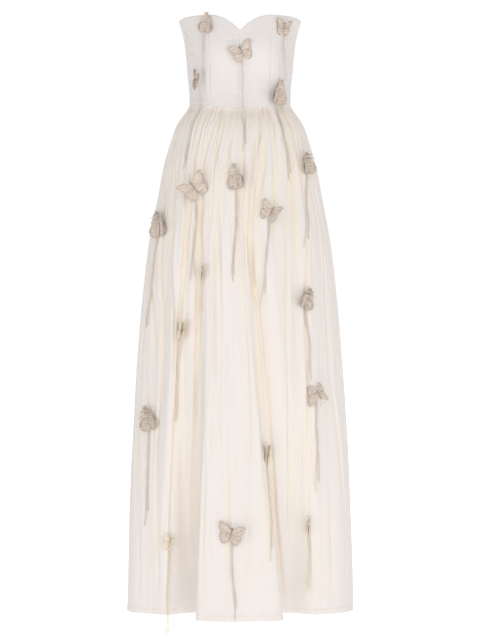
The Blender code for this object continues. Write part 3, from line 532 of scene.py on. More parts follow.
class Nodes:
    """A tree of nodes, added and joined in short calls."""

    def __init__(self, tree: bpy.types.NodeTree) -> None:
        """Keep the tree."""
        self.tree = tree

    def node(self, kind: str, values: Values | None = None, **settings: str) -> bpy.types.Node:
        """Add a node and set its inputs and its properties."""
        node = self.tree.nodes.new(kind)
        for name, setting in settings.items():
            setattr(node, name, setting)
        self.put(node, values or {})
        return node

    def put(self, node: bpy.types.Node, values: Values) -> None:
        """Set a node's inputs by name."""
        for name, value in values.items():
            node.inputs[name].default_value = value

    def link(self, source: Socket, target: Socket) -> None:
        """Join two sockets."""
        self.tree.links.new(source, target)

    def ramp(self, factor: Socket, low: float, high: float, start: float = 0.0, end: float = 1.0) -> Socket:
        """Carry a factor smoothly from one range, low to high, to another, start to end."""
        ranges = {"From Min": low, "From Max": high, "To Min": start, "To Max": end}
        spread = self.node("ShaderNodeMapRange", ranges, interpolation_type="SMOOTHSTEP")
        self.link(factor, spread.inputs["Value"])
        return spread.outputs["Result"]

    def maths(self, operation: str, *operands: Socket | float) -> Socket:
        """A sum, product or other operation on values."""
        node = self.node("ShaderNodeMath", operation=operation)
        for operand, socket in zip(operands, node.inputs):
            if isinstance(operand, (int, float)):
                socket.default_value = operand
            else:
                self.link(operand, socket)
        return node.outputs["Value"]

    def plus(self, first: Socket, second: Socket | float) -> Socket:
        """Two values added."""
        return self.maths("ADD", first, second)

    def times(self, first: Socket, second: Socket | float) -> Socket:
        """Two values multiplied."""
        return self.maths("MULTIPLY", first, second)


class Graph(Nodes):
    """A material's nodes."""

    def __init__(self, name: str) -> None:
        """Start a material with its shader and nothing else."""
        self.material = bpy.data.materials.new(name)
        self.material.use_nodes = True
        super().__init__(self.material.node_tree)
        self.shader = self.tree.nodes["Principled BSDF"]

    def surface(self, roughness: float, sheen: float = 0.0, metallic: float = 0.0) -> None:
        """Set the shader's plain values."""
        self.put(self.shader, {
            "Roughness": roughness,
            "Sheen Weight": sheen,
            "Sheen Roughness": 0.6,
            "Metallic": metallic,
            "Specular IOR Level": 0.25,
        })

    def paint(self, colour: Socket) -> None:
        """Give the shader its colour."""
        self.link(colour, self.shader.inputs["Base Color"])

    def texture(self, node: bpy.types.Node, source: str, scale: Triple, output: str) -> Socket:
        """A texture node's output, on texture coordinates stretched by a scale."""
        mapping = self.node("ShaderNodeMapping", {"Scale": scale})
        self.link(self.node("ShaderNodeTexCoord").outputs[source], mapping.inputs["Vector"])
        self.link(mapping.outputs["Vector"], node.inputs["Vector"])
        self.put(node, {"Scale": 1.0})
        return node.outputs[output]

    def noise(self, source: str, scale: Triple, detail: float = 2.0) -> Socket:
        """Noise from 0 to 1 on stretched coordinates."""
        return self.texture(self.node("ShaderNodeTexNoise", {"Detail": detail}), source, scale, "Fac")

    def wave(self, source: str, scale: Triple, direction: str, bend: float) -> Socket:
        """Parallel bands from 0 to 1, with uneven edges."""
        bands = {"wave_type": "BANDS", "bands_direction": direction}
        node = self.node("ShaderNodeTexWave", {"Distortion": bend, "Detail": 1.0}, **bands)
        return self.texture(node, source, scale, "Fac")

    def cells(self, source: str, scale: Triple) -> Socket:
        """Distance from the middle of scattered cells."""
        return self.texture(self.node("ShaderNodeTexVoronoi"), source, scale, "Distance")

    def attribute(self, name: str) -> Socket:
        """A value that the mesh carries at its points."""
        return self.node("ShaderNodeAttribute", attribute_name=name).outputs["Fac"]

    def mix(self, factor: Socket, first: Socket | Colour, second: Socket | Colour) -> Socket:
        """Two colours mixed by a factor."""
        node = self.node("ShaderNodeMix", data_type="RGBA")
        self.link(factor, node.inputs["Factor"])
        for value, socket in ((first, node.inputs[6]), (second, node.inputs[7])):
            if isinstance(value, tuple):
                socket.default_value = (*value, 1.0)
            else:
                self.link(value, socket)
        return node.outputs[2]

    def bump(self, height: Socket, strength: float, distance: float) -> None:
        """Raise the surface by a height, over any bump that is there."""
        bump = self.node("ShaderNodeBump", {"Strength": strength, "Distance": distance})
        self.link(height, bump.inputs["Height"])
        normal = self.shader.inputs["Normal"]
        if normal.is_linked:
            self.link(normal.links[0].from_socket, bump.inputs["Normal"])
        self.link(bump.outputs["Normal"], normal)


# The length of one band of the wave texture at scale 1
WAVE_PERIOD = 2 * math.pi / 20


@dataclass(frozen=True)
class ClothFinish:
    """Plain woven cotton and linen, ivory, with slubs, and painted warm shade deep in its folds where light
    bounces between the cloth and shines through it.
    """

    colour: Colour = (0.755, 0.71, 0.682)
    shade_colour: Colour = (0.745, 0.692, 0.66)
    painted_fold_shade_colour: Colour = (0.80, 0.705, 0.59)
    thread_pitch: float = 1.1 * MM
    slub_length: float = 46 * MM
    slub_width: float = 1.6 * MM

    def make(self, name: str) -> bpy.types.Material:
        """The material, on the cloth's own UV map in metres."""
        graph = Graph(name)
        long_way, short_way = 1 / self.slub_length, 1 / self.slub_width
        warp = graph.noise("UV", (short_way, long_way, 1), 3)
        weft = graph.noise("UV", (long_way, short_way, 1), 3)
        slubs = graph.times(graph.plus(warp, weft), 0.5)
        cloudy = graph.noise("UV", (9, 5, 1), 2)
        tone = graph.ramp(graph.times(graph.plus(slubs, cloudy), 0.5), 0.28, 0.74)
        plain = graph.mix(tone, self.shade_colour, self.colour)
        # Painted warm shade: the mesh's fold value mixes in a warmer colour where light bounces between the
        # cloth and shines through it in the folds
        warm = graph.mix(graph.attribute("fold"), plain, self.painted_fold_shade_colour)
        graph.paint(warm)
        threads = WAVE_PERIOD / self.thread_pitch
        over = graph.wave("UV", (threads, threads, 1), "X", 1.2)
        under = graph.wave("UV", (threads, threads, 1), "Y", 1.2)
        graph.bump(graph.times(over, under), 0.30, 0.25 * MM)
        graph.bump(slubs, 0.20, 0.7 * MM)
        graph.surface(0.86, sheen=0.18)
        return graph.material


@dataclass(frozen=True)
class WingFinish:
    """Crisp open raffia gauze, taupe, with cross ribs, pale specks and a darker edge."""

    colour: Colour = (0.42, 0.335, 0.275)
    pale_colour: Colour = (0.70, 0.605, 0.53)
    edge_colour: Colour = (0.32, 0.25, 0.20)
    speck_colour: Colour = (0.80, 0.74, 0.67)
    rib_pitch: float = 2.1 * MM
    band_pitch: float = 6.6 * MM

    def make(self, name: str) -> bpy.types.Material:
        """The material, on the wing's own UV map in metres."""
        graph = Graph(name)
        ribs = WAVE_PERIOD / self.rib_pitch
        rib = graph.wave("UV", (ribs * 0.4, ribs, 1), "Y", 3.2)
        fibre = graph.noise("UV", (180, 900, 1), 3)
        patch = graph.noise("UV", (150, 150, 1), 2)
        fibrous = graph.plus(graph.times(rib, 0.55), graph.times(fibre, 0.6))
        tone = graph.ramp(fibrous, 0.35, 0.85)
        woven = graph.mix(tone, self.colour, self.pale_colour)
        bands = WAVE_PERIOD / self.band_pitch
        band = graph.wave("UV", (bands * 0.3, bands, 1), "Y", 4.0)
        banded = graph.mix(graph.times(band, 0.6), woven, self.pale_colour)
        blotches = graph.times(graph.ramp(patch, 0.52, 0.72), 0.6)
        blotched = graph.mix(blotches, banded, self.edge_colour)
        edged = graph.mix(graph.times(graph.attribute("edge"), 0.3), blotched, self.edge_colour)
        specks = graph.cells("UV", (420, 420, 1))
        dots = graph.times(graph.ramp(specks, 0.24, 0.12), graph.ramp(patch, 0.56, 0.44))
        graph.paint(graph.mix(dots, edged, self.speck_colour))
        graph.bump(rib, 0.5, 0.35 * MM)
        graph.bump(fibre, 0.4, 0.3 * MM)
        graph.surface(0.72, sheen=0.10)
        graph.put(graph.shader, {
            "Subsurface Weight": 0.45,
            "Subsurface Radius": (0.8, 0.9, 1.0),
            "Subsurface Scale": 2 * MM,
        })
        return graph.material


@dataclass(frozen=True)
class ThreadFinish:
    """Twisted or wrapped thread, in one colour with its plies shown."""

    colour: Colour
    dark_colour: Colour
    ply_pitch: float = 1.5 * MM

    def make(self, name: str) -> bpy.types.Material:
        """The material, on the thread's own UV map: round it and along it, in metres."""
        graph = Graph(name)
        plies = WAVE_PERIOD / self.ply_pitch
        ply = graph.wave("UV", (plies * 0.6, plies, 1), "DIAGONAL", 0.8)
        fuzz = graph.noise("Object", (900, 900, 900), 2)
        tone = graph.ramp(graph.plus(graph.times(ply, 0.6), graph.times(fuzz, 0.4)), 0.2, 0.8)
        graph.paint(graph.mix(tone, self.dark_colour, self.colour))
        graph.bump(ply, 0.6, 0.25 * MM)
        graph.surface(0.8, sheen=0.15)
        return graph.material


@dataclass(frozen=True)
class BeadFinish:
    """Small glossy beads."""

    colour: Colour = (0.30, 0.25, 0.21)

    def make(self, name: str) -> bpy.types.Material:
        """The material, with a faint clouding on object coordinates."""
        graph = Graph(name)
        cloud = graph.noise("Object", (600, 600, 600), 2)
        lighter = tuple(1.5 * value for value in self.colour)
        graph.paint(graph.mix(cloud, self.colour, lighter))
        graph.surface(0.28)
        return graph.material


@dataclass(frozen=True)
class TapeFinish:
    """The zip's woven tape."""

    colour: Colour = (0.76, 0.70, 0.65)

    def make(self, name: str) -> bpy.types.Material:
        """The material, with a fine twill on object coordinates."""
        graph = Graph(name)
        twill = graph.wave("Object", (260, 260, 260), "DIAGONAL", 0.6)
        darker = tuple(0.88 * value for value in self.colour)
        graph.paint(graph.mix(twill, darker, self.colour))
        graph.bump(twill, 0.4, 0.2 * MM)
        graph.surface(0.8, sheen=0.1)
        return graph.material


@dataclass(frozen=True)
class MetalFinish:
    """Brushed pale metal of the slider and pull tab, worn a little."""

    colour: Colour = (0.66, 0.62, 0.56)

    def make(self, name: str) -> bpy.types.Material:
        """The material, brushed along the zip on object coordinates."""
        graph = Graph(name)
        brushed = graph.noise("Object", (2600, 2600, 160), 3)
        wear = graph.noise("Object", (240, 240, 240), 3)
        bright = tuple(min(1.0, 1.18 * value) for value in self.colour)
        graph.paint(graph.mix(graph.ramp(wear, 0.4, 0.7), self.colour, bright))
        graph.bump(brushed, 0.25, 0.05 * MM)
        graph.surface(0.30, metallic=1.0)
        return graph.material


# ---------------------------------------------------------------- meshes of sheets and tubes


class Sheet:
    """A closed thin sheet from two grids of points, an outer and an inner one."""

    RIM_ROUND = 0.35

    def __init__(self, outer: Array, inner: Array) -> None:
        """Keep the two grids: rows run down, columns run round."""
        self.outer = outer
        self.inner = inner
        self.rows, self.columns = outer.shape[:2]

    def border(self) -> tuple[Array, Array]:
        """The border's places in order, and for each the place one step in from it."""
        rows, columns = self.rows, self.columns
        places, inward = [], []
        for place in range(columns - 1):
            places.append((0, place))
            inward.append((1, place))
        for row in range(rows - 1):
            places.append((row, columns - 1))
            inward.append((row, columns - 2))
        for place in range(columns - 1, 0, -1):
            places.append((rows - 1, place))
            inward.append((rows - 2, place))
        for row in range(rows - 1, 0, -1):
            places.append((row, 0))
            inward.append((row, 1))
        return np.array(places), np.array(inward)

    def mesh(self, name: str, uv: Array, **attributes: Array) -> bpy.types.Mesh:
        """The closed mesh.

        Args:
            name: the mesh's name.
            uv: a grid of texture places, in metres.
            attributes: grids of values that the points carry.

        Returns:
            The mesh, with its faces outwards.
        """
        rows, columns = self.rows, self.columns
        places, inward = self.border()
        rim = (self.outer[tuple(places.T)] + self.inner[tuple(places.T)]) / 2
        away = unit(self.outer[tuple(places.T)] - self.outer[tuple(inward.T)])
        wall = np.linalg.norm(self.outer[tuple(places.T)] - self.inner[tuple(places.T)], axis=1)
        rim = rim + away * (self.RIM_ROUND * wall)[:, None]
        points = np.concatenate([self.outer.reshape(-1, 3), self.inner.reshape(-1, 3), rim])
        index = np.arange(rows * columns).reshape(rows, columns)
        corners = [index[:-1, :-1], index[1:, :-1], index[1:, 1:], index[:-1, 1:]]
        quads = np.stack(corners, axis=-1).reshape(-1, 4)
        back = quads[:, ::-1] + rows * columns
        edge = places[:, 0] * columns + places[:, 1]
        after = np.roll(edge, -1)
        middle = 2 * rows * columns + np.arange(len(edge))
        middle_after = np.roll(middle, -1)
        far = rows * columns
        upper = np.stack([edge, after, middle_after, middle], axis=-1)
        lower = np.stack([middle, middle_after, after + far, edge + far], axis=-1)
        faces = np.concatenate([quads, back, upper, lower])
        mesh = mesh_from(name, points, faces)
        flat = uv.reshape(-1, 2)
        set_uv(mesh, np.concatenate([flat, flat, flat[edge]]))
        for key, values in attributes.items():
            row = values.reshape(-1)
            set_attribute(mesh, key, np.concatenate([row, row, row[edge]]))
        return mesh


def mesh_from(name: str, points: Array, faces: Array | Faces, smooth: bool = True) -> bpy.types.Mesh:
    """A mesh of these points and faces."""
    mesh = bpy.data.meshes.new(name)
    mesh.from_pydata(points.tolist(), [], faces if isinstance(faces, list) else faces.tolist())
    mesh.update()
    if smooth:
        mesh.shade_smooth()
    return mesh


def copies(name: str, shape: bpy.types.Mesh, points: Array, smooth: bool) -> bpy.types.Mesh:
    """A mesh of many copies of a small shape, which is then removed.

    Args:
        name: the mesh's name.
        shape: the shape whose faces are repeated.
        points: the points of each copy in turn.
        smooth: whether the mesh is shaded smooth.

    Returns:
        The mesh of all the copies.
    """
    count, size = points.shape[:2]
    faces = [tuple(face.vertices) for face in shape.polygons]
    repeated = [tuple(corner + place * size for corner in face) for place in range(count) for face in faces]
    bpy.data.meshes.remove(shape)
    return mesh_from(name, points.reshape(-1, 3), repeated, smooth)


def set_uv(mesh: bpy.types.Mesh, values: Array) -> None:
    """Give a mesh a UV map from one place for each point."""
    corners = np.empty(len(mesh.loops), np.int32)
    mesh.loops.foreach_get("vertex_index", corners)
    layer = mesh.uv_layers.new(name="cloth")
    layer.data.foreach_set("uv", values[corners].astype(np.float32).reshape(-1))


def set_attribute(mesh: bpy.types.Mesh, name: str, values: Array) -> None:
    """Give a mesh a value at each point."""
    layer = mesh.attributes.new(name, "FLOAT", "POINT")
    layer.data.foreach_set("value", values.astype(np.float32))


def new_object(name: str, mesh: bpy.types.Mesh, *materials: bpy.types.Material) -> bpy.types.Object:
    """An object of this mesh in the scene, at the origin."""
    obj = bpy.data.objects.new(name, mesh)
    for material in materials:
        mesh.materials.append(material)
    bpy.context.scene.collection.objects.link(obj)
    return obj


def grid_uv(grid: Array) -> Array:
    """Texture places in metres: across by mean arc length, down by arc length."""
    across = np.linalg.norm(np.diff(grid, axis=1), axis=-1).mean(axis=0)
    down = np.linalg.norm(np.diff(grid, axis=0), axis=-1).mean(axis=1)
    u = np.concatenate([[0], np.cumsum(across)])
    v = -np.concatenate([[0], np.cumsum(down)])
    return np.stack(np.broadcast_arrays(u[None, :], v[:, None]), axis=-1)


@dataclass(frozen=True)
class Tube:
    """A round tube along a line of points, closed at both ends."""

    line: Array
    radius: Array
    sides: int = 6
    guide: Triple = (0.0, 1.0, 0.0)

    def build(self, turn: Array | None = None) -> tuple[Array, Array, Array]:
        """Points, faces and UV places of the tube.

        Args:
            turn: how far each ring is turned about the line, in radians.

        Returns:
            Points, faces of four corners, and a UV place for each point.
        """
        count, sides = len(self.line), self.sides
        along = unit(np.gradient(self.line, axis=0))
        first = unit(np.cross(along, np.array(self.guide)))
        angle = 2 * math.pi * np.arange(sides) / sides + (0 if turn is None else turn[:, None])
        points = sections(self.line, first, np.cross(along, first), angle, self.radius)
        ends = np.stack([self.line[0], self.line[-1]])
        faces = []
        for place in range(count - 1):
            for side in range(sides):
                low, high = place * sides + side, place * sides + (side + 1) % sides
                faces.append((low, high, high + sides, low + sides))
        start, finish = count * sides, count * sides + 1
        last = (count - 1) * sides
        for side in range(sides):
            faces.append((start, (side + 1) % sides, side, side))
            faces.append((finish, last + side, last + (side + 1) % sides, last + (side + 1) % sides))
        length = arc_along(self.line)
        girth = np.arange(sides) / sides * 3 * MM
        uv = np.stack(np.broadcast_arrays(girth[None, :], length[:, None]), axis=-1).reshape(-1, 2)
        uv = np.concatenate([uv, [[0, 0], [0, length[-1]]]])
        return np.concatenate([points, ends]), np.array(faces), uv


class Assembly:
    """Pieces of one object, gathered with their finishes before its mesh is made."""

    def __init__(self) -> None:
        """Start empty."""
        self.points: list[Array] = []
        self.faces: Faces = []
        self.kinds: list[int] = []
        self.uvs: list[Array] = []
        self.edges: list[Array] = []
        self.count = 0

    def add(self, points: Array, faces: Array, uv: Array, kind: int, edge: Array | None = None) -> None:
        """Add a piece whose faces take the finish of this number."""
        for face in faces:
            corners = tuple(dict.fromkeys(int(corner) for corner in face))
            self.faces.append(tuple(self.count + corner for corner in corners))
            self.kinds.append(kind)
        self.points.append(points)
        self.uvs.append(uv)
        self.edges.append(np.zeros(len(points)) if edge is None else edge)
        self.count += len(points)

    def all_points(self) -> Array:
        """Every point so far."""
        return np.concatenate(self.points)

    def join(self, other: "Assembly", frame: Matrix) -> None:
        """Add another assembly's pieces, with their points moved by a frame."""
        turn, shift = np.array(frame.to_3x3()), np.array(frame.translation)
        self.points += [points @ turn.T + shift for points in other.points]
        self.uvs += other.uvs
        self.edges += other.edges
        self.faces += [tuple(self.count + corner for corner in face) for face in other.faces]
        self.kinds += other.kinds
        self.count += other.count

    def object(self, name: str, frame: Matrix, *materials: bpy.types.Material) -> bpy.types.Object:
        """The finished object, with its points moved by a frame."""
        turn = np.array(frame.to_3x3())
        points = self.all_points() @ turn.T + np.array(frame.translation)
        mesh = mesh_from(name, points, self.faces)
        set_uv(mesh, np.concatenate(self.uvs))
        set_attribute(mesh, "edge", np.concatenate(self.edges))
        obj = new_object(name, mesh, *materials)
        mesh.polygons.foreach_set("material_index", np.array(self.kinds, np.int32))
        return obj


# ---------------------------------------------------------------- the bodice


@dataclass
class Bodice:
    """Seven fitted panels of cloth between princess seams, with a sweetheart top edge."""

    cloth: bpy.types.Material
    wall: float = 1.3 * MM
    rows: int = 72
    seam_dip: float = 0.55 * MM
    seam_reach: float = 1.8 * MM
    crease_turn: float = 2.2
    crease_share: float = 2.2
    allowance_height: float = 5 * MM
    allowance_rise: float = 0.55 * MM

    def top_height(self, turn: Array, across: Array) -> Array:
        """Height of the top edge at each place round it."""
        reach = np.clip(np.abs(across) / NECK_PEAK_ACROSS, 0, 1)
        cup = NECK_DIP_HEIGHT + (NECK_PEAK_HEIGHT - NECK_DIP_HEIGHT) * (1 - (1 - reach) ** 2)
        past = np.clip((np.abs(turn) - NECK_PEAK_TURN) / (math.pi / 2 - NECK_PEAK_TURN), 0, 1)
        outer = NECK_PEAK_HEIGHT + (NECK_SIDE_HEIGHT - NECK_PEAK_HEIGHT) * past**2
        behind = np.clip((np.abs(turn) - math.pi / 2) / (math.pi / 2), 0, 1)
        back = NECK_SIDE_HEIGHT + (NECK_BACK_HEIGHT - NECK_SIDE_HEIGHT) * behind
        front = np.where(np.abs(turn) < NECK_PEAK_TURN, cup, outer)
        return np.where(np.abs(turn) > math.pi / 2, back, front)

    def form(self, turn: Array, share: Array) -> Array:
        """Outer points of the solid's form: share is 0 at the waist seam and 1 at the top edge."""
        heights = column(BODICE_SECTIONS, "height") * MM
        sizes = np.stack(
            [column(BODICE_SECTIONS, key) * MM for key in ("half_width", "depth_front", "depth_back")],
            axis=1,
        )
        top_width = smooth_through(heights, sizes, np.full_like(turn, NECK_PEAK_HEIGHT))[..., 0]
        top = self.top_height(turn, top_width * np.sin(turn))
        waist = waist_height(turn)
        height = waist + share * (top - waist)
        at = smooth_through(heights, sizes, height)
        depth = np.where(np.cos(turn) > 0, at[..., 1], at[..., 2])
        across = at[..., 0] * np.sin(turn)
        forward = -depth * np.cos(turn)
        for side in (-1, 1):
            reach = (across - side * CUP_ACROSS) ** 2 + (height - CUP_HEIGHT) ** 2
            cup = CUP_FULLNESS * np.exp(-reach / (2 * CUP_RADIUS**2))
            forward = forward - cup * np.clip(np.cos(turn), 0, 1)
        return np.stack([across, forward, height], axis=-1)

    def wrinkles(self, turn: Array, height: Array) -> Array:
        """How far the wrinkles move the cloth out, over the whole grid."""
        round_way = np.degrees(turn) * self.crease_turn
        up = height / MM
        moved = 0.36 * np.sin(round_way / 23 + 0.6) * np.sin(up / 31 + round_way / 57)
        moved = moved + 0.20 * np.sin(round_way / 9.5 + up / 17)
        for crease in BODICE_CREASES:
            start = np.array([crease.start_turn * self.crease_turn, crease.start_height])
            end = np.array([crease.end_turn * self.crease_turn, crease.end_height])
            way = end - start
            along = ((round_way - start[0]) * way[0] + (up - start[1]) * way[1]) / (way @ way)
            inside = np.clip(along, 0, 1)
            off = np.hypot(round_way - start[0] - inside * way[0], up - start[1] - inside * way[1])
            fade = np.sin(math.pi * np.clip(inside * 0.9 + 0.05, 0, 1)) ** 0.6
            trough = -crease.depth * np.exp(-((off / crease.width) ** 2) / 2)
            shoulder = 0.45 * crease.depth * np.exp(-(((off - 2.2 * crease.width) / crease.width) ** 2) / 2)
            moved = moved + self.crease_share * (trough + shoulder) * fade
        return moved * MM

    def grid(self, panel: BodicePanel) -> tuple[Array, Array]:
        """A panel's outer and inner points."""
        share = np.linspace(1, 0, self.rows)[:, None]
        place = np.linspace(0, 1, panel.columns)[None, :]
        left_turn = panel.left.waist_turn + (panel.left.top_turn - panel.left.waist_turn) * share
        right_turn = panel.right.waist_turn + (panel.right.top_turn - panel.right.waist_turn) * share
        turn = np.radians(left_turn + (right_turn - left_turn) * place)
        outer = self.form(turn, share + 0 * turn)
        outer[-1, :, 2] += SEAM_GAP / 2
        for edge, step, seam in ((0, 1, panel.left), (-1, -2, panel.right)):
            gap = ZIP_SLOT if abs(seam.waist_turn) == 180 else SEAM_GAP
            outer[:, edge] += unit(outer[:, step] - outer[:, edge]) * gap / 2
        normals = grid_normals(outer)
        round_way = arc_round(outer)
        from_seam = np.minimum(round_way, round_way[:, -1:] - round_way)
        dip = self.seam_dip * np.exp(-((from_seam / self.seam_reach) ** 2))
        low = (outer[..., 2] - outer[-1:, :, 2]) / (1.6 * MM)
        dip = np.maximum(dip, 0.5 * MM * np.exp(-(low**2)))
        above = (outer[..., 2] - outer[-1:, :, 2] - self.allowance_height) / (0.5 * self.allowance_height)
        moved = self.wrinkles(turn, outer[..., 2]) * ease(from_seam / (8 * MM)) - dip
        moved = moved + self.allowance_rise * np.exp(-(above**2)) * ease(from_seam / (3 * MM))
        outer = outer + normals * moved[..., None]
        return outer, outer - normals * self.wall

    def build(self) -> list[bpy.types.Object]:
        """Every panel as a shell on its solid's form."""
        pieces = []
        for panel in BODICE_PANELS:
            outer, inner = self.grid(panel)
            # The bodice's fold value is zero: no painted warm shade there
            mesh = Sheet(outer, inner).mesh(panel.name, grid_uv(outer), fold=np.zeros(outer.shape[:2]))
            piece = new_object(f"{panel.name}_cloth", mesh, self.cloth)
            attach(piece, "dress")
            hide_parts(panel.name)
            LOG.info("%s: %d faces", piece.name, len(mesh.polygons))
            pieces.append(piece)
        return pieces


# ---------------------------------------------------------------- the skirt


class SkirtPanel(NamedTuple):
    """A skirt panel between two of the fold lines, and its flat cut in metres."""

    name: str
    first_line: int
    last_line: int
    zip_left: bool
    zip_right: bool
    flat: tuple[float, float]
    area: float


SKIRT_PANELS = (
    SkirtPanel("skirt_front", 0, 22, False, False, (0.900, 1.185), 0.86),
    SkirtPanel("skirt_back_right", 22, 33, False, True, (0.500, 1.190), 0.44),
    SkirtPanel("skirt_back_left", 33, 44, True, False, (0.480, 1.190), 0.43),
)


@dataclass
class Skirt:
    """Three panels gathered at the waist seam, falling in long folds to a turned hem."""

    cloth: bpy.types.Material
    wall: float = 1.2 * MM
    samples: int = 12
    solid_samples: int = 3
    hem_turn: float = 11 * MM
    hem_step: float = 0.45 * MM
    gather_share: float = 0.38
    extra_tucks: int = 96
    ripples: int = 320
    crease_share: float = 1.65
    crease_width_share: float = 0.68
    # Painted warm shade of the folds: its share deep in the recesses at each of the fold drops, and the
    # crease and gather trough depths that take it fully
    deep_shade_shares: tuple[float, ...] = (0.5, 0.36, 0.22, 0.10)
    # Insets in millimetres that count as deep, at each of the fold drops
    deep_insets: tuple[float, ...] = (6, 13, 28, 88)
    crease_shade_depth: float = 5 * MM
    gather_shade_depth: float = 3.5 * MM
    gather_seed: int = 11
    tuck_seed: int = 5
    ripple_seed: int = 23
    # Tucks: their lengths are metres, their widths and depths millimetres
    tuck_reach: float = 0.36
    short_tuck_share: float = 0.62
    short_tucks: tuple[float, float] = (0.05, 0.14)
    long_tucks: tuple[float, float] = (0.16, 0.36)
    tuck_widths: tuple[float, float] = (0.8, 1.3)
    tuck_depths: tuple[float, float] = (1.8, 5.6)
    # Ripples: their lines count the fold lines, and their tops and sizes are millimetres
    ripple_lines: tuple[float, float] = (0.3, 43.7)
    ripple_tops: tuple[float, float] = (60, 1040)
    ripple_lengths: tuple[float, float] = (80, 380)
    ripple_widths: tuple[float, float] = (2.2, 5.4)
    ripple_depths: tuple[float, float] = (0.5, 1.7)
    ripple_bend: float = 0.14
    ripple_lean: float = 0.4

    def drops(self) -> Array:
        """The rows' drops below the waist: close at the gathers and the hem."""
        runs = ((0, 60, 2.2), (60, 200, 4), (200, 620, 8.2), (620, 1120, 10.5), (1120, 1152, 2.6))
        places = [np.arange(start, end, step) for start, end, step in runs]
        return np.append(np.concatenate(places), 1152) * MM

    def section(self, drops: Array) -> tuple[Array, Array]:
        """Half width and half depth of the plain section at each drop."""
        at = column(SKIRT_SECTIONS, "drop") * MM
        width = smooth_through(at, column(SKIRT_SECTIONS, "half_width") * MM, drops)
        depth = smooth_through(at, column(SKIRT_SECTIONS, "half_depth") * MM, drops)
        return width, depth

    def control_rings(self, drops: Array) -> Array:
        """The fold lines' points in plan, and their insets, at each drop."""
        count = len(FOLD_LINES)
        even_turns = -90 + 360 / count * np.arange(count)
        heights = ("hip", "thigh", "hem")
        turns = [even_turns] + [column(FOLD_LINES, f"{at}_turn") for at in heights]
        insets = [np.zeros(count)] + [column(FOLD_LINES, f"{at}_in") for at in heights]
        stations = np.array(FOLD_DROPS) * MM
        turn = np.radians(smooth_through(stations, turns, drops))
        inset = smooth_through(stations, insets, drops) * MM
        width, depth = self.section(drops)
        across = width[:, None] * np.sin(turn)
        forward = -depth[:, None] * np.cos(turn)
        kept = 1 - inset / np.hypot(across, forward)
        return np.stack([across * kept, forward * kept, inset], axis=-1)

    def gathers(self, drops: Array, places: Array) -> Array:
        """How far the gathers lift the cloth, at places counted in the solid's columns.

        Args:
            drops: the rows' drops below the waist.
            places: each column's place, in columns of the solid.

        Returns:
            The lift of every point of the grid.
        """
        columns = len(FOLD_LINES) * self.solid_samples
        rng = np.random.default_rng(self.gather_seed)
        index = np.arange(columns)
        fine = np.where(index % 2 == 0, 1.0, -1.0) * rng.uniform(0.65, 1.2, columns)
        merged = np.sin(index * math.pi / 2 + 0.6) * rng.uniform(0.5, 1.1, columns)
        flat = np.ones(columns)
        for seam in (0, columns // 2, 3 * columns // 4, columns):
            flat = np.minimum(flat, np.clip((np.abs(index - seam) - 1) / 2, 0, 1))
        flat = np.minimum(flat, np.clip((np.abs(index - 3 * columns // 4) - 3) / 2, 0, 1))
        stations = column(GATHER_SIZES, "drop") * MM
        sizes = [
            smooth_through(stations, column(GATHER_SIZES, key) * MM, drops)[:, None]
            for key in ("fine", "merged")
        ]
        sway = 0.5 * np.sin(drops / 0.031)[:, None] * np.sin(places / 5.3)[None, :]
        at = places[None, :] + sway * ease(drops / 0.05)[:, None]
        lifted = self.gather_share * sizes[0] * between(fine, at) + sizes[1] * between(merged, at)
        return (lifted + self.tucks(drops, places, columns)) * between(flat, places)

    def tucks(self, drops: Array, places: Array, columns: int) -> Array:
        """The sharp little valleys between the gathers, uneven in place, depth and length."""
        rng = np.random.default_rng(self.tuck_seed)
        spots = np.concatenate([
            np.arange(1, columns, 2) + rng.uniform(-0.7, 0.7, columns // 2),
            rng.uniform(0, columns, self.extra_tucks),
        ])
        girth = np.interp(drops, column(SKIRT_SECTIONS, "drop") * MM, self.girths())
        rows = drops < self.tuck_reach
        column_size = (girth / columns)[rows, None]
        drop = drops[rows, None]
        valley = np.zeros((len(drops), len(places)))
        for spot in spots:
            short = rng.random() < self.short_tuck_share
            length = rng.uniform(*(self.short_tucks if short else self.long_tucks))
            drift, wander = rng.uniform(-1.1, 1.1), rng.uniform(0, 6)
            centre = spot + drift * drop / 0.12 + 0.25 * np.sin(drop / 0.027 + wander)
            off = (places[None, :] - centre + columns / 2) % columns - columns / 2
            width = rng.uniform(*self.tuck_widths) * MM * (1 + drop / 0.08) ** 0.7
            depth = rng.uniform(*self.tuck_depths) * MM * ease(drop / 0.0055) * (1 - ease(drop / length))
            valley[rows] -= depth * np.exp(-((off * column_size / width) ** 2) / 2)
        return valley

    def girths(self) -> Array:
        """The way round the plain section at each row of the section table."""
        width = column(SKIRT_SECTIONS, "half_width") * MM
        depth = column(SKIRT_SECTIONS, "half_depth") * MM
        return math.pi * (3 * (width + depth) - np.sqrt((3 * width + depth) * (width + 3 * depth)))

    def trough(self, share: Array, lines: Sequence[float], round_way: Array, crease: Crease) -> Array:
        """One crease over the whole grid.

        Args:
            share: how far each row is down the crease, from 0 to 1 inside it.
            lines: the fold lines that the crease follows at its top, middle and bottom.
            round_way: arc length round each row.
            crease: the crease's width, depth and lean.

        Returns:
            How far it moves each point out.
        """
        spot = smooth_through((0, 0.5, 1), lines, share) * self.samples
        low = np.clip(np.floor(spot).astype(int), 0, round_way.shape[1] - 2)
        rows = np.arange(len(share))
        step = round_way[rows, low + 1] - round_way[rows, low]
        centre = round_way[rows, low] + (spot - low) * step
        size = np.sin(math.pi * np.clip(share, 0, 1)) ** 0.7 * ((share > 0) & (share < 1))
        off = (round_way - centre[:, None]) / (self.crease_width_share * crease.width * MM)
        off = off / (0.75 + 0.5 * np.clip(share, 0, 1))[:, None]
        ridge = abs(crease.lean) * np.exp(-((off - math.copysign(2.1, crease.lean)) ** 2) / 2.6)
        return crease.depth * MM * size[:, None] * (ridge - np.exp(-(off**2) / 2))

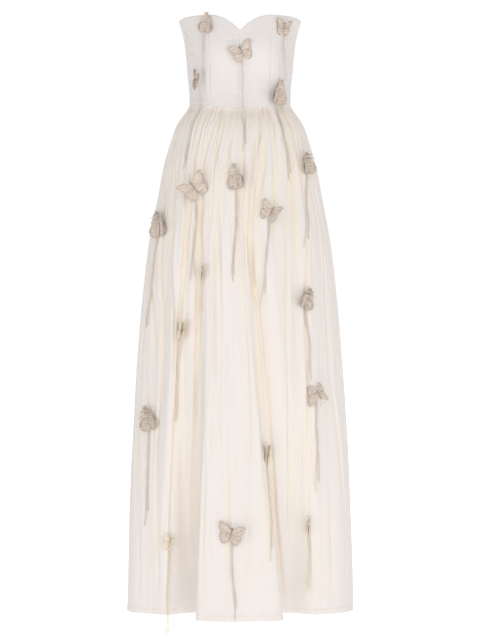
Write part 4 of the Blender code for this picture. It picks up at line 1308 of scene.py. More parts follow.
    def creases(self, drops: Array, round_way: Array) -> Array:
        """How far the creases in the table and many small ripples move the cloth."""
        moved = np.zeros_like(round_way)
        for crease in SKIRT_CREASES:
            share = (drops / MM - crease.top_drop) / (crease.bottom_drop - crease.top_drop)
            lines = (crease.top_line, crease.middle_line, crease.bottom_line)
            moved += self.crease_share * self.trough(share, lines, round_way, crease)
        rng = np.random.default_rng(self.ripple_seed)
        for _ in range(self.ripples):
            line, top = rng.uniform(*self.ripple_lines), rng.uniform(*self.ripple_tops)
            length, width = rng.uniform(*self.ripple_lengths), rng.uniform(*self.ripple_widths)
            depth = rng.uniform(*self.ripple_depths) * rng.choice((-1, 1, 1))
            lean = rng.choice((-self.ripple_lean, self.ripple_lean))
            lines = line + rng.uniform(-self.ripple_bend, self.ripple_bend, 3)
            ripple = Crease(top, top + length, *lines, width, depth, lean)
            moved += self.trough((drops / MM - top) / length, lines, round_way, ripple)
        return moved

    def surface(self) -> tuple[Array, Array, Array]:
        """Outer points, inner points and the painted warm shade of the folds over the whole skirt."""
        drops = self.drops()
        rings = closed_spline(self.control_rings(drops), self.samples)
        plan, inset = rings[..., :2], rings[..., 2]
        along = np.roll(plan, -1, axis=1) - np.roll(plan, 1, axis=1)
        out = unit(np.stack([along[..., 1], -along[..., 0]], axis=-1))
        round_way = arc_round(plan)
        places = np.arange(plan.shape[1]) / self.samples * self.solid_samples
        lifted = self.gathers(drops, places)
        creased = self.creases(drops, round_way)
        wave = 0.8 * np.sin(round_way / 0.043 + 9 * drops[:, None]) * np.sin(round_way / 0.117 + 4)
        wave = wave * MM * ease(drops / 0.2)[:, None]
        from_hem = (SKIRT_LENGTH - drops)[:, None]
        hem = self.hem_step * ease((self.hem_turn + 1.5 * MM - from_hem) / (3 * MM)) * np.ones_like(inset)
        moved = lifted + creased + wave
        share = (drops / SKIRT_LENGTH)[:, None]
        width, depth = self.section(drops)
        plain = plan + out * lifted[..., None]
        waist = waist_height(np.arctan2(plain[..., 0] / width[:, None], -plain[..., 1] / depth[:, None]))
        rise = HEM_RISE_SHARE * np.clip(inset, 0, None) * share
        height = waist * (1 - share) - SKIRT_LENGTH * share + rise
        rolled = 0.7 * MM * np.exp(-((drops / (1.8 * MM)) ** 2))[:, None]
        outer = plan + out * (moved + hem - rolled)[..., None]
        wall = self.wall * (1 + 0.6 * ease(0.2 / MM * np.abs(lifted)))
        inner = plan + out * (moved - rolled - wall)[..., None]
        outer = np.concatenate([outer, height[..., None]], axis=-1)
        inner = np.concatenate([inner, height[..., None]], axis=-1)
        return outer, inner, self.painted_shade_of_folds(drops, inset, lifted, creased)

    def painted_shade_of_folds(self, drops: Array, inset: Array, lifted: Array, creased: Array) -> Array:
        """How much painted warm shade each point takes, from 0 to 1: deep in the recesses, in crease
        troughs and between the gathers.
        """
        stations = np.array(FOLD_DROPS) * MM
        scale = smooth_through(stations, np.array(self.deep_insets) * MM, drops)[:, None]
        deep_share = smooth_through(stations, self.deep_shade_shares, drops)[:, None]
        deep = deep_share * ease((inset / scale - 0.10) / 0.6) * ease(drops / 0.09)[:, None]
        fold = deep + np.clip(-creased / self.crease_shade_depth, 0, 0.8)
        fold = fold + np.clip(-lifted / self.gather_shade_depth, 0, 0.85)
        return np.clip(fold, 0, 1) * ease(drops / 0.012)[:, None]

    def build(self) -> list[bpy.types.Object]:
        """Every panel as a shell on its solid's form."""
        outer, inner, fold = self.surface()
        drops = self.drops()
        outer[0, :, 2] -= SEAM_GAP / 2
        inner[0, :, 2] -= SEAM_GAP / 2
        pieces = []
        for panel in SKIRT_PANELS:
            places = np.arange(panel.first_line * self.samples, panel.last_line * self.samples + 1)
            places = places % outer.shape[1]
            grids = [outer[:, places].copy(), inner[:, places].copy()]
            for edge, step, at_zip in ((0, 1, panel.zip_left), (-1, -2, panel.zip_right)):
                slotted = at_zip & (drops < ZIP_BELOW_WAIST + MM)
                gap = np.where(slotted, ZIP_SLOT, SEAM_GAP)[:, None] / 2
                way = unit(grids[0][:, step] - grids[0][:, edge])
                for grid in grids:
                    grid[:, edge] += way * gap
            # The fold value carries the painted warm shade to the cloth's material
            mesh = Sheet(*grids).mesh(panel.name, grid_uv(grids[0]), fold=fold[:, places])
            piece = new_object(f"{panel.name}_cloth", mesh, self.cloth)
            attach(piece, "dress")
            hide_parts(panel.name)
            LOG.info("%s: %d faces", piece.name, len(mesh.polygons))
            pieces.append(piece)
        return pieces

    def hem_line(self) -> tuple[Array, Array]:
        """Places of the hem's stitching all round, and the way out at each."""
        outer, _, _ = self.surface()
        drops = self.drops()
        row = int(np.argmin(np.abs(SKIRT_LENGTH - drops - self.hem_turn)))
        line = outer[row]
        normals = grid_normals(np.concatenate([outer[:, -1:], outer, outer[:, :1]], axis=1))[row, 1:-1]
        return line, normals


# ---------------------------------------------------------------- sewing


@dataclass
class Sewing:
    """Machine stitches along the hem."""

    thread: bpy.types.Material
    pitch: float = 3.4 * MM
    length: float = 2.5 * MM
    width: float = 0.55 * MM
    rise: float = 0.12 * MM

    def stitch(self) -> bpy.types.Mesh:
        """One stitch, lying along X: a cylinder drawn in at both ends."""
        bpy.ops.object.select_all(action="DESELECT")
        bpy.ops.mesh.primitive_cylinder_add(
            vertices=6, radius=self.width / 2, depth=self.length, rotation=(0, math.pi / 2, 0)
        )
        obj = bpy.context.object
        bpy.ops.object.mode_set(mode="EDIT")
        bpy.ops.mesh.select_all(action="DESELECT")
        shape = bmesh.from_edit_mesh(obj.data)
        for face in shape.faces:
            face.select_set(len(face.verts) == 6)
        bmesh.update_edit_mesh(obj.data)
        bpy.ops.mesh.inset(thickness=self.width * 0.2, depth=self.width * 0.3)
        bpy.ops.object.mode_set(mode="OBJECT")
        bpy.ops.object.transform_apply(location=True, rotation=True, scale=True)
        mesh = obj.data
        bpy.data.objects.remove(obj, do_unlink=True)
        return mesh

    def run(self, name: str, line: Array, normals: Array) -> bpy.types.Object:
        """Stitches at an even pitch along a closed line."""
        closed = np.concatenate([line, line[:1]])
        far = arc_along(closed)
        out = np.concatenate([normals, normals[:1]])
        count = int(far[-1] / self.pitch)
        at = (np.arange(count) + 0.5) * far[-1] / count
        centre = along_line(at, far, closed)
        away = unit(along_line(at, far, out))
        first = unit(along_line(at + 0.5 * MM, far, closed) - centre)
        up = np.cross(first, away)
        shape = self.stitch()
        base = np.array([vertex.co for vertex in shape.vertices])
        points = centre[:, None] + away[:, None] * self.rise
        for axis, way in enumerate((first, away, up)):
            points = points + base[None, :, axis : axis + 1] * way[:, None]
        mesh = copies(name, shape, points, smooth=True)
        set_uv(mesh, np.tile(base[:, [2, 0]], (count, 1)))
        piece = new_object(name, mesh, self.thread)
        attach(piece, "dress")
        LOG.info("%s: %d stitches", name, count)
        return piece


# ---------------------------------------------------------------- the zip


@dataclass
class Zip:
    """The centre back zip: its tape, coil, slider and pull tab."""

    nodes: dict[str, bpy.types.Object]
    tape: bpy.types.Material
    metal: bpy.types.Material
    thread: bpy.types.Material
    slider_height: float = 171 * MM
    slider_room: float = 6 * MM
    tooth_pitch: float = 1.7 * MM
    tooth_width: float = 1.0 * MM
    tooth_height: float = 1.3 * MM
    tooth_length: float = 1.05 * MM

    def finish_node(self, name: str, material: bpy.types.Material) -> None:
        """Give a solid that stays its finish."""
        for slot in self.nodes[name].material_slots:
            slot.material = material

    def tooth(self) -> bpy.types.Mesh:
        """One turn of the coil, across the tape: a bevelled bar."""
        bpy.ops.object.select_all(action="DESELECT")
        bpy.ops.mesh.primitive_cube_add(size=1)
        obj = bpy.context.object
        obj.scale = (self.tooth_width, self.tooth_height, self.tooth_length)
        bpy.ops.object.transform_apply(location=False, rotation=False, scale=True)
        bpy.ops.object.mode_set(mode="EDIT")
        bpy.ops.mesh.select_all(action="SELECT")
        bpy.ops.mesh.bevel(offset=0.16 * MM, segments=1)
        bpy.ops.object.mode_set(mode="OBJECT")
        mesh = obj.data
        bpy.data.objects.remove(obj, do_unlink=True)
        return mesh

    def coil(self) -> bpy.types.Object:
        """The closed coil along the tape's outer face."""
        points = np.array([vertex.co for vertex in self.nodes["zip_tape"].data.vertices])
        middle = points[np.abs(points[:, 0]) < MM]
        heights = np.unique(np.round(middle[:, 2], 5))
        faces_out = np.array([middle[np.abs(middle[:, 2] - height) < 2e-5, 1].max() for height in heights])
        low, high = heights[0] + 3 * MM, self.slider_height - self.slider_room
        at = np.arange(low, high, self.tooth_pitch)
        out = np.interp(at, heights, faces_out) - self.tooth_height / 2 + 0.05 * MM
        shape = self.tooth()
        base = np.array([vertex.co for vertex in shape.vertices])
        spots = np.stack([np.zeros_like(at), out + self.tooth_height, at], axis=-1)
        mesh = copies("zip_coil", shape, spots[:, None] + base[None], smooth=False)
        set_uv(mesh, np.tile(base[:, [0, 2]], (len(at), 1)))
        piece = new_object("zip_coil", mesh, self.thread)
        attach(piece, "dress")
        LOG.info("zip_coil: %d turns", len(at))
        return piece

    def build(self) -> None:
        """Dress the zip's solids and add its coil."""
        self.finish_node("zip_tape", self.tape)
        self.finish_node("zip_slider", self.metal)
        self.finish_node("zip_pull_tab", self.metal)
        self.coil()


# ---------------------------------------------------------------- butterflies


class Part(Enum):
    """The finishes of a butterfly's parts, in the order of its material slots."""

    WING = 0
    EDGE = 1
    BODY = 2
    TAIL = 3
    BEAD = 4


class WingOutline(NamedTuple):
    """One wing's outline from its root, in half spans: out from the body, and ahead."""

    name: str
    lift_share: float
    raised: float
    curl: float
    middle: tuple[float, float]
    points: tuple[tuple[float, float], ...]


OPEN_WINGS = (
    WingOutline(
        "hind", 0.94, 0.0, 0.05, (0.035, -0.02),
        ((0.03, 0.04), (0.34, 0.10), (0.66, 0.02), (0.84, -0.16), (0.85, -0.40), (0.74, -0.60),
         (0.66, -0.76), (0.48, -0.88), (0.28, -0.82), (0.13, -0.54), (0.03, -0.18)),
    ),
    WingOutline(
        "fore", 1.0, 0.6, 0.12, (0.035, 0.02),
        ((0.03, 0.02), (0.05, 0.20), (0.32, 0.46), (0.66, 0.65), (0.98, 0.74), (1.07, 0.60),
         (0.99, 0.32), (0.86, 0.06), (0.66, -0.13), (0.38, -0.19), (0.10, -0.10)),
    ),
)

# Wings laid back over the body, as a moth rests
FOLDED_WINGS = (
    WingOutline(
        "hind", 0.94, 0.0, 0.10, (0.38, -0.36),
        ((0.06, 0.20), (0.36, 0.16), (0.64, -0.12), (0.80, -0.42), (0.78, -0.70), (0.60, -0.88),
         (0.36, -0.92), (0.14, -0.70), (0.05, -0.30)),
    ),
    WingOutline(
        "fore", 1.0, 1.2, 0.20, (0.30, -0.08),
        ((0.04, 0.60), (0.11, 0.88), (0.26, 0.68), (0.46, 0.26), (0.60, -0.16), (0.68, -0.56),
         (0.58, -0.88), (0.32, -0.98), (0.09, -0.86), (0.04, -0.20)),
    ),
)


# Girths of the body at places from the head to the tip, as shares of its thickness
BODY_PLACES = (0, 0.06, 0.13, 0.19, 0.30, 0.42, 0.50, 0.66, 0.85, 1.0)
BODY_GIRTHS = (0.10, 0.62, 0.74, 0.50, 0.98, 0.92, 0.66, 0.74, 0.50, 0.12)


class CurlBand(NamedTuple):
    """A rolled band across folded wings: its place and half width in half spans, and its finish."""

    ahead: float
    width: float
    kind: Part


CURL_BANDS = (
    CurlBand(0.44, 0.46, Part.BODY),
    CurlBand(0.30, 0.54, Part.TAIL),
    CurlBand(0.15, 0.58, Part.BODY),
    CurlBand(-0.08, 0.60, Part.TAIL),
)


class Cloth:
    """The faces of the panels, for laying things on them."""

    def __init__(self, pieces: Sequence[bpy.types.Object]) -> None:
        """Gather the panels' faces."""
        points: list[Vector] = []
        faces: Faces = []
        for piece in pieces:
            start = len(points)
            points += [vertex.co.copy() for vertex in piece.data.vertices]
            faces += [tuple(start + corner for corner in face.vertices) for face in piece.data.polygons]
        self.tree = BVHTree.FromPolygons(points, faces)

    def reach(self, point: Vector, outward: Vector) -> float | None:
        """How far the cloth reaches along a direction at this point, or None beside the cloth."""
        start = point + outward * (1.0 - point.dot(outward))
        hit = self.tree.ray_cast(start, -outward, 2.0)[0]
        return None if hit is None else hit.dot(outward)


@dataclass
class ButterflyMaker:
    """Makes each butterfly: four curved wings, a wrapped body, antennae and twisted tails."""

    cloth: Cloth
    skirt: Skirt
    materials: tuple[bpy.types.Material, ...]
    painted_light_materials: tuple[bpy.types.Material, ...]
    wing_wall: float = 0.55 * MM
    edge_radius: float = 0.42 * MM
    rings: int = 8
    spokes: int = 44
    body_thickness: float = 4.2 * MM
    body_share: float = 0.9
    thread_radius: float = 0.98 * MM
    tail_spacing: float = 2.9 * MM
    clear: float = 0.35 * MM
    tail_sway: float = 1.9 * MM
    tail_curl: float = 3 * MM
    curl_radius: float = 1.1 * MM
    wing_bow: float = 0.085
    wing_ruffle: float = 0.018
    wing_vein: float = 0.010
    curl_start: float = 0.45
    edge_band: float = 0.2
    antenna_radius: float = 0.26 * MM

    def place(self, row: Butterfly) -> tuple[Vector, Vector]:
        """The point of the plain section where a butterfly sits, and the way out from it."""
        angle = math.radians((row.turn + 180) % 360 - 180)
        height = row.height * MM
        if height > WAIST_SIDE_HEIGHT:
            heights = column(BODICE_SECTIONS, "height") * MM
            key = "depth_front" if math.cos(angle) > 0 else "depth_back"
            width = float(smooth_through(heights, column(BODICE_SECTIONS, "half_width") * MM, height))
            depth = float(smooth_through(heights, column(BODICE_SECTIONS, key) * MM, height))
        else:
            width, depth = (float(size) for size in self.skirt.section(np.array(-height)))
        point = Vector((width * math.sin(angle), -depth * math.cos(angle), height))
        outward = Vector((math.sin(angle) / width, -math.cos(angle) / depth, 0)).normalized()
        return point, outward

    def outline(self, wing: WingOutline, half_span: float) -> Array:
        """The wing's smooth outline with faint scallops, in metres."""
        control = np.array(wing.points)[None]
        ring = closed_spline(control, 16)[0]
        far = np.linspace(0, len(ring) - 1, self.spokes + 1)[:-1]
        ring = along_line(far, np.arange(len(ring)), ring)
        out = np.linalg.norm(ring - ring[0], axis=1, keepdims=True)
        place = np.linspace(0, 2 * math.pi, self.spokes)[:, None]
        ragged = 0.034 * np.sin(9 * place) + 0.022 * np.sin(13 * place + 40 * half_span)
        ragged = ragged + 0.018 * np.sin(20 * place)
        scallop = 1 + ragged * ease(out / 0.6)
        return (ring[0] + (ring - ring[0]) * scallop) * half_span

    def wing(
        self,
        parts: Assembly,
        wing: WingOutline,
        side: int,
        half_span: float,
        lift: float,
        rng: np.random.Generator,
    ) -> None:
        """Add one wing: a thin cambered sheet with ribs, and its embroidered edge."""
        ring = self.outline(wing, half_span)
        root = np.array(wing.middle) * half_span
        share = (np.arange(1, self.rings + 1) / self.rings)[:, None, None]
        flat = root + (ring[None] - root) * share
        place = np.linspace(0, 2 * math.pi, self.spokes, endpoint=False)
        reach = np.linalg.norm(flat - root, axis=-1) / half_span
        bowed = self.wing_bow * np.sin(np.clip(reach, 0, 1.1) * math.pi * 0.85) * half_span
        past = np.clip(reach - self.curl_start, 0, None)
        curl = wing.curl * rng.uniform(0.4, 1.3) * half_span * past**2
        ruffled = np.sin(5 * place + rng.uniform(0, 6))[None] * share[..., 0] ** 2
        ruffle = self.wing_ruffle * half_span * ruffled
        veined = np.cos(9 * place)[None] ** 8 * np.sin(math.pi * share[..., 0]) ** 0.5
        veins = self.wing_vein * half_span * veined
        height = bowed + curl + ruffle + veins + wing.raised * MM
        points = np.concatenate([flat, height[..., None]], axis=-1)
        middle = np.array([[*root, wing.raised * MM]])
        top = np.concatenate([middle, points.reshape(-1, 3)])
        under = top - np.array([0, 0, self.wing_wall])
        faces: Faces = []
        total = len(top)
        spokes = self.spokes
        for spoke in range(spokes):
            after = (spoke + 1) % spokes
            faces.append((0, 1 + after, 1 + spoke, 1 + spoke))
            for ringed in range(self.rings - 1):
                low, high = 1 + ringed * spokes, 1 + (ringed + 1) * spokes
                faces.append((low + spoke, low + after, high + after, high + spoke))
            last = 1 + (self.rings - 1) * spokes
            faces.append((last + spoke, last + after, last + after + total, last + spoke + total))
        for face in list(faces):
            if max(face) < total:
                faces.append(tuple(corner + total for corner in face[::-1]))
        band = (share[..., 0] - (1 - self.edge_band)) / self.edge_band
        near_edge = np.broadcast_to(ease(band), (self.rings, spokes))
        edge = np.concatenate([[0], near_edge.reshape(-1)])
        whole = np.concatenate([top, under])
        uv = whole[:, :2] + rng.uniform(0, 1, 2)
        turn = np.array(Matrix.Rotation(-math.radians(lift), 3, "Y"))
        self.add_turned(parts, whole, faces, uv, Part.WING, np.concatenate([edge, edge]), turn, side)
        rim = points[-1] - np.array([0, 0, self.wing_wall / 2])
        self.add_rim(parts, rim, turn, side)

    def add_turned(
        self,
        parts: Assembly,
        points: Array,
        faces: Faces,
        uv: Array,
        kind: Part,
        edge: Array | None,
        turn: Array,
        side: int,
    ) -> None:
        """Add points that are raised about the body's line, on either side of it."""
        raised = points @ turn.T
        raised[:, 0] *= side
        ordered = np.array(faces) if side > 0 else np.array(faces)[:, ::-1]
        parts.add(raised, ordered, uv, kind.value, edge)

    def add_rim(self, parts: Assembly, rim: Array, turn: Array, side: int) -> None:
        """Add the raised thread edge round a wing: a closed ring of small section."""
        count, sides = len(rim), 5
        along = unit(np.roll(rim, -1, axis=0) - np.roll(rim, 1, axis=0))
        across = unit(np.cross(along, np.array([0, 0, 1.0])))
        angle = 2 * math.pi * np.arange(sides) / sides
        points = sections(rim, across, np.cross(across, along), angle, np.full(count, self.edge_radius))
        faces = []
        for place in range(count):
            after = (place + 1) % count
            for corner in range(sides):
                turned = (corner + 1) % sides
                low, high = place * sides, after * sides
                faces.append((low + corner, high + corner, high + turned, low + turned))
        girth, far = np.arange(sides) * 0.6 * MM, np.arange(count) * 1.2 * MM
        uv = np.stack(np.broadcast_arrays(girth[None], far[:, None]), axis=-1).reshape(-1, 2)
        self.add_turned(parts, points, faces, uv, Part.EDGE, None, turn, side)

    def body(self, parts: Assembly, half_span: float) -> None:
        """Add the body: head, thorax and a ringed abdomen, wrapped with thread."""
        length = self.body_share * half_span
        share = np.linspace(0, 1, 22)
        radius = np.interp(share, BODY_PLACES, BODY_GIRTHS) * self.body_thickness / 2
        radius = radius * (1 + 0.07 * np.sin(share * 60) * (share > 0.48))
        line = np.stack([0 * share, length * (0.5 - share), 0.2 * MM + 0 * share], axis=-1)
        points, faces, uv = Tube(line, radius, 9, (1.0, 0.0, 0.0)).build()
        parts.add(points, faces, uv, Part.BODY.value)

    def antennae(self, parts: Assembly, half_span: float, rng: np.random.Generator) -> None:
        """Add two fine curved antennae with a bead at each tip."""
        share = np.linspace(0, 1, 9)
        head = self.body_share * half_span * 0.47
        for side in (-1, 1):
            spread = rng.uniform(0.20, 0.32)
            length = rng.uniform(0.36, 0.46) * half_span
            x = side * (0.6 * MM + spread * length * share**1.6 * 1.6)
            y = head + length * share
            z = 1.0 * MM + 0.28 * length * np.sin(share * 2.2)
            line = np.stack([x, y, z], axis=-1)
            points, faces, uv = Tube(line, np.full(9, self.antenna_radius), 5, (0.0, 0.0, 1.0)).build()
            parts.add(points, faces, uv, Part.EDGE.value)
            self.bead(parts, line[-1], rng.uniform(0.75, 0.95) * MM)

    def curls(self, parts: Assembly, row: Butterfly, half_span: float) -> None:
        """Add the rolled bands across the top of folded wings, pale and dark in turn."""
        share = np.linspace(-1, 1, 15)
        raised = math.tan(math.radians((row.left + row.right) / 2))
        for place, (ahead, width, kind) in enumerate(CURL_BANDS):
            x = share * width
            y = ahead + 0.16 * (1 - share**2) + 0.08 * share * (-1) ** place
            z = 0.10 + 0.75 * raised * np.abs(x) + 0.10 * (1 - share**2)
            line = np.stack([x, y, z], axis=-1) * half_span
            radius = self.curl_radius * np.sqrt(np.clip(1 - share**2, 0.05, 1))
            parts.add(*Tube(line, radius, 6, (0.0, 0.0, 1.0)).build(), kind.value)

    def bead(self, parts: Assembly, centre: Array, radius: float) -> None:
        """Add a small round bead."""
        turn = np.linspace(0, math.pi, 7)
        line = centre + np.stack([0 * turn, -np.cos(turn) * radius, 0 * turn], axis=-1)
        points, faces, uv = Tube(line, np.sin(turn).clip(0.02) * radius, 8, (1.0, 0.0, 0.0)).build()
        parts.add(points, faces, uv, Part.BEAD.value)

    def lift(self, parts: Assembly, frame: Matrix, outward: Vector) -> float:
        """How far out a butterfly moves for all of it to lie clear of the cloth."""
        needed = []
        for place in parts.all_points()[::3]:
            point = frame @ Vector(place)
            reach = self.cloth.reach(point, outward)
            if reach is not None:
                needed.append(reach + self.clear - point.dot(outward))
        return max(needed) if needed else 0.0

    def tail_line(self, root: Vector, row: Butterfly, outward: Vector) -> tuple[Array, Array]:
        """The middle line of a butterfly's tails, and how far along it each point is.

        It hangs plumb from the body, and lies on cloth that comes forward.
        """
        sideways = Vector((-outward.y, outward.x, 0))
        length = row.tail * MM
        count = int(length / (4 * MM)) + 2
        share = np.linspace(0, 1, count)
        reached, line = [], []
        for at in share:
            sway = self.tail_sway * math.sin(at * length / 0.030 + row.turn) * math.sin(math.pi * at)
            point = root + sideways * (row.drift * MM * at + sway) - Vector((0, 0, length * at))
            line.append(point)
            half = 1.2 * MM + row.splay * MM * at / 2
            found = [self.cloth.reach(point + sideways * aside * half, outward) for aside in (-1, 0, 1)]
            found = [reach for reach in found if reach is not None]
            reached.append(max(found) + self.clear + 1.4 * self.thread_radius if found else -1.0)
        reached = np.array(reached)
        outs = np.maximum.accumulate(reached)
        start = root.dot(outward)
        outs = np.where(outs < -0.5, start, outs)
        outs = outs + (start - outs[0]) * np.clip(1 - share * length / (12 * MM), 0, 1)
        padded = np.pad(outs, 2, mode="edge")
        smooth = sum(padded[step : step + count] for step in range(5)) / 5
        outs = np.maximum(smooth, reached)
        outs[0] = start
        points = [point + outward * (out - point.dot(outward)) for point, out in zip(line, outs)]
        return np.array(points), share * length

    def tails(
        self,
        parts: Assembly,
        line: Array,
        far: Array,
        row: Butterfly,
        outward: Vector,
        rng: np.random.Generator,
    ) -> None:
        """Add two strands that twist round each other and part near their ends."""
        sideways = np.array((-outward.y, outward.x, 0))
        ahead = np.array(outward)
        share = far / far[-1]
        pitch = rng.uniform(85, 130) * MM
        phase = 2 * math.pi * far / pitch + rng.uniform(0, 6)
        parting = ease((share - 0.45) / 0.55)
        for strand, side in enumerate((-1, 1)):
            reach = len(line)
            if strand:
                reach = max(4, int(len(line) * rng.uniform(0.86, 0.99)))
            twisted = self.tail_spacing / 2 * np.cos(phase) * side
            apart = side * (self.tail_spacing / 2 + row.splay * MM / 2)
            aside = twisted * (1 - parting) + apart * parting
            aside = aside + rng.uniform(-1, 1) * self.tail_curl * ease((share - 0.86) / 0.14) ** 2
            forth = self.tail_spacing / 2 * 0.7 * (1 + np.sin(phase) * side) * (1 - parting)
            points = line + sideways * aside[:, None] + ahead * forth[:, None]
            radius = np.full(len(line), self.thread_radius)
            radius[-1] *= 0.5
            shape = Tube(points[:reach], radius[:reach], 6).build(turn=0.8 * phase[:reach])
            parts.add(*shape, Part.TAIL.value)

    def make(self, row: Butterfly) -> bpy.types.Object:
        """One whole butterfly, in place of its solid."""
        rng = np.random.default_rng(sum(map(ord, row.name)))
        half_span = row.span * MM / 2
        place, outward = self.place(row)
        facing = Matrix.Rotation(math.radians(row.swing), 3, "Z") @ outward
        sideways = Vector((-facing.y, facing.x, 0))
        roll = math.radians(row.roll)
        head = Vector((0, 0, math.cos(roll))) + sideways * math.sin(roll)
        frame = Matrix((head.cross(facing), head, facing)).transposed().to_4x4()
        frame.translation = place
        parts = Assembly()
        wings = FOLDED_WINGS if row.folded else OPEN_WINGS
        for wing in wings:
            for side, raised in ((-1, row.left), (1, row.right)):
                self.wing(parts, wing, side, half_span, raised * wing.lift_share, rng)
        self.body(parts, half_span)
        self.antennae(parts, half_span, rng)
        if row.name in CURLED_BUTTERFLIES:
            self.curls(parts, row, half_span)
        frame.translation = place + outward * self.lift(parts, frame, outward)
        root = frame @ Vector((0, -0.22 * half_span, 0))
        line, far = self.tail_line(root, row, outward)
        strands = Assembly()
        self.tails(strands, line, far, row, outward, rng)
        parts.join(strands, frame.inverted())
        # Butterflies deep in the folds take lighter finishes, painted light against the shade there
        finishes = self.painted_light_materials if row.name in PAINTED_LIGHT_BUTTERFLIES else self.materials
        piece = parts.object(f"{row.name}_butterfly", frame, *finishes)
        node = f"butterfly_{row.name}"
        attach(piece, "dress")
        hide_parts(node)
        LOG.info("%s: %d faces", piece.name, len(piece.data.polygons))
        return piece


# ---------------------------------------------------------------- floor, light and camera


class Lamp(NamedTuple):
    """A square soft light, its power as a share of the key's."""

    name: str
    place: Triple
    size: float
    share: float
    colour: Colour


LAMPS = (
    Lamp("key", (1.9, -4.5, 0.15), 3.4, 1.0, (0.985, 0.985, 0.975)),
    Lamp("fill", (-3.6, -3.2, -0.3), 3.0, 0.40, (0.96, 0.985, 1.0)),
    Lamp("back", (1.5, 4.6, 1.2), 2.4, 0.8, (1.0, 0.99, 0.98)),
)


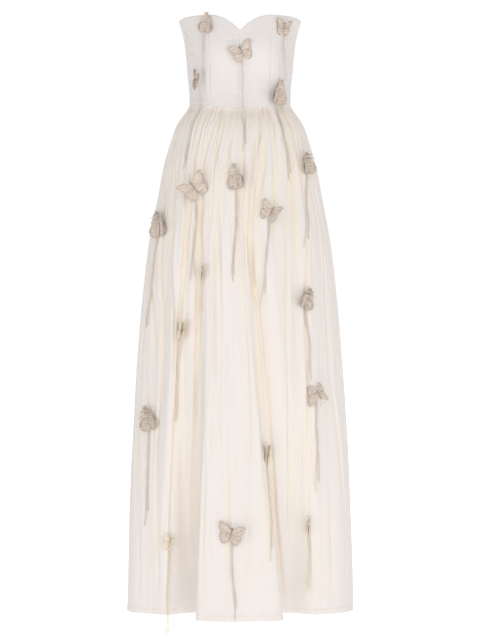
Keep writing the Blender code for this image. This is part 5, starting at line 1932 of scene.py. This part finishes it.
@dataclass
class Studio:
    """A plain white floor, soft light from all round, and the camera at the photograph's place."""

    floor_height: float = -1.2085
    floor_radius: float = 14.0
    camera_distance: float = 5.0
    camera_height: float = -0.4865
    focal_pixels: float = 2175.0
    image_height: float = 640.0
    sensor: float = 36.0
    horizon: float = 1.02
    ceiling: float = 0.62
    side_share: float = 0.52
    front_share: float = 1.50
    floor_glow: float = 0.72
    key_power: float = 38.0

    def floor(self) -> None:
        """A wide white disc that glows a little, so that it meets the white behind it."""
        bpy.ops.object.select_all(action="DESELECT")
        bpy.ops.mesh.primitive_circle_add(
            vertices=96, radius=self.floor_radius, fill_type="NGON", location=(0, 0, self.floor_height)
        )
        floor = bpy.context.object
        floor.name = "studio_floor"
        graph = Graph("studio_floor")
        speckle = graph.noise("Object", (3, 3, 3), 2)
        graph.paint(graph.mix(speckle, (0.90, 0.90, 0.90), (0.92, 0.92, 0.92)))
        graph.put(graph.shader, {"Emission Color": (1, 1, 1, 1), "Emission Strength": self.floor_glow})
        graph.surface(0.9)
        floor.data.materials.append(graph.material)
        floor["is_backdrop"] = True

    def light(self, lamp: Lamp) -> None:
        """A square soft light that faces the dress."""
        data = bpy.data.lights.new(lamp.name, "AREA")
        data.shape = "SQUARE"
        data.size = lamp.size
        data.energy = lamp.share * self.key_power
        data.color = lamp.colour
        light = bpy.data.objects.new(lamp.name, data)
        light.location = lamp.place
        aim = Vector((0, 0, -0.5)) - light.location
        light.rotation_euler = aim.to_track_quat("-Z", "Y").to_euler()
        bpy.context.scene.collection.objects.link(light)

    def surroundings(self) -> None:
        """White all round. Its light is dimmer from above and the sides, and brighter from the front."""
        world = bpy.data.worlds.new("studio")
        world.use_nodes = True
        nodes = Nodes(world.node_tree)
        axes = nodes.node("ShaderNodeSeparateXYZ")
        nodes.link(nodes.node("ShaderNodeTexCoord").outputs["Generated"], axes.inputs["Vector"])
        above = nodes.ramp(axes.outputs["Z"], 0.18, 0.42, self.horizon, self.ceiling)
        aside = nodes.maths("ABSOLUTE", axes.outputs["X"])
        sides = nodes.ramp(aside, 0.30, 0.85, 1.0, self.side_share)
        front = nodes.ramp(axes.outputs["Y"], -0.95, -0.45, self.front_share, 1.0)
        lit = nodes.times(above, nodes.times(sides, front))
        seen = nodes.node("ShaderNodeLightPath").outputs["Is Camera Ray"]
        strength = nodes.node("ShaderNodeMix")
        for socket, output in zip((0, 2, 3), (seen, lit, above)):
            nodes.link(output, strength.inputs[socket])
        background = nodes.tree.nodes["Background"]
        nodes.put(background, {"Color": (1, 1, 1, 1)})
        nodes.link(strength.outputs[0], background.inputs["Strength"])
        bpy.context.scene.world = world

    def camera(self) -> None:
        """The camera: level, facing the dress, with the photograph's angle of view."""
        data = bpy.data.cameras.new("camera")
        data.sensor_fit = "VERTICAL"
        data.sensor_height = self.sensor
        data.lens = self.focal_pixels / self.image_height * self.sensor
        camera = bpy.data.objects.new("camera", data)
        camera.location = (0, -self.camera_distance, self.camera_height)
        camera.rotation_euler = (math.pi / 2, 0, 0)
        bpy.context.scene.collection.objects.link(camera)
        bpy.context.scene.camera = camera
        bpy.context.scene.view_settings.view_transform = "Standard"

    def build(self) -> None:
        """Floor, lights and camera."""
        self.floor()
        self.surroundings()
        for lamp in LAMPS:
            self.light(lamp)
        self.camera()
        LOG.info("studio: ready")


# ---------------------------------------------------------------- the dress


def write_sizes(after: object) -> None:
    """Define a helper that turns a box's corners into plain numbers, and do nothing else."""
    def plain(box: object) -> list:
        return [[float(value) for value in corner] for corner in box]


def main() -> None:
    """Build the dress's looks piece by piece."""
    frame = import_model()
    Studio().build()
    # The bodice takes a darker copy of the skirt's cloth, painted shade for the dimmer light that falls on
    # it
    shaded_bodice_finish = ClothFinish((0.70, 0.662, 0.64), (0.655, 0.61, 0.585))
    bodice = Bodice(shaded_bodice_finish.make("bodice_cloth"))
    skirt = Skirt(ClothFinish().make("skirt_cloth"))
    panels = bodice.build() + skirt.build()
    sewing_thread = ThreadFinish((0.86, 0.80, 0.74), (0.70, 0.63, 0.57)).make("sewing_thread")
    Sewing(sewing_thread).run("hem_stitching", *skirt.hem_line())
    Zip(
        frame["nodes"],
        TapeFinish().make("zip_tape"),
        MetalFinish().make("zip_metal"),
        ThreadFinish((0.80, 0.75, 0.70), (0.66, 0.60, 0.55)).make("zip_coil"),
    ).build()
    taupe = ThreadFinish((0.58, 0.49, 0.42), (0.46, 0.38, 0.32))
    finishes = (
        WingFinish().make("wing_gauze"),
        taupe.make("wing_edge"),
        ThreadFinish((0.40, 0.325, 0.265), (0.28, 0.22, 0.18)).make("body_thread"),
        ThreadFinish((0.735, 0.645, 0.57), (0.585, 0.505, 0.44)).make("tail_thread"),
        BeadFinish().make("bead"),
    )
    # Lighter copies of the butterflies' finishes, painted light against the shade deep in the folds
    painted_light_thread = ThreadFinish((0.80, 0.71, 0.58), (0.68, 0.59, 0.46))
    painted_light_finishes = (
        WingFinish((0.67, 0.58, 0.45), (0.84, 0.755, 0.61), (0.53, 0.45, 0.34)).make("wing_gauze_painted_light"),
        painted_light_thread.make("wing_edge_painted_light"),
        painted_light_thread.make("body_thread_painted_light"),
        painted_light_thread.make("tail_thread_painted_light"),
        finishes[Part.BEAD.value],
    )
    maker = ButterflyMaker(Cloth(panels), skirt, finishes, painted_light_finishes)
    for row in BUTTERFLIES:
        maker.make(row)
    write_sizes(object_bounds())


if __name__ == "__main__":
    main()
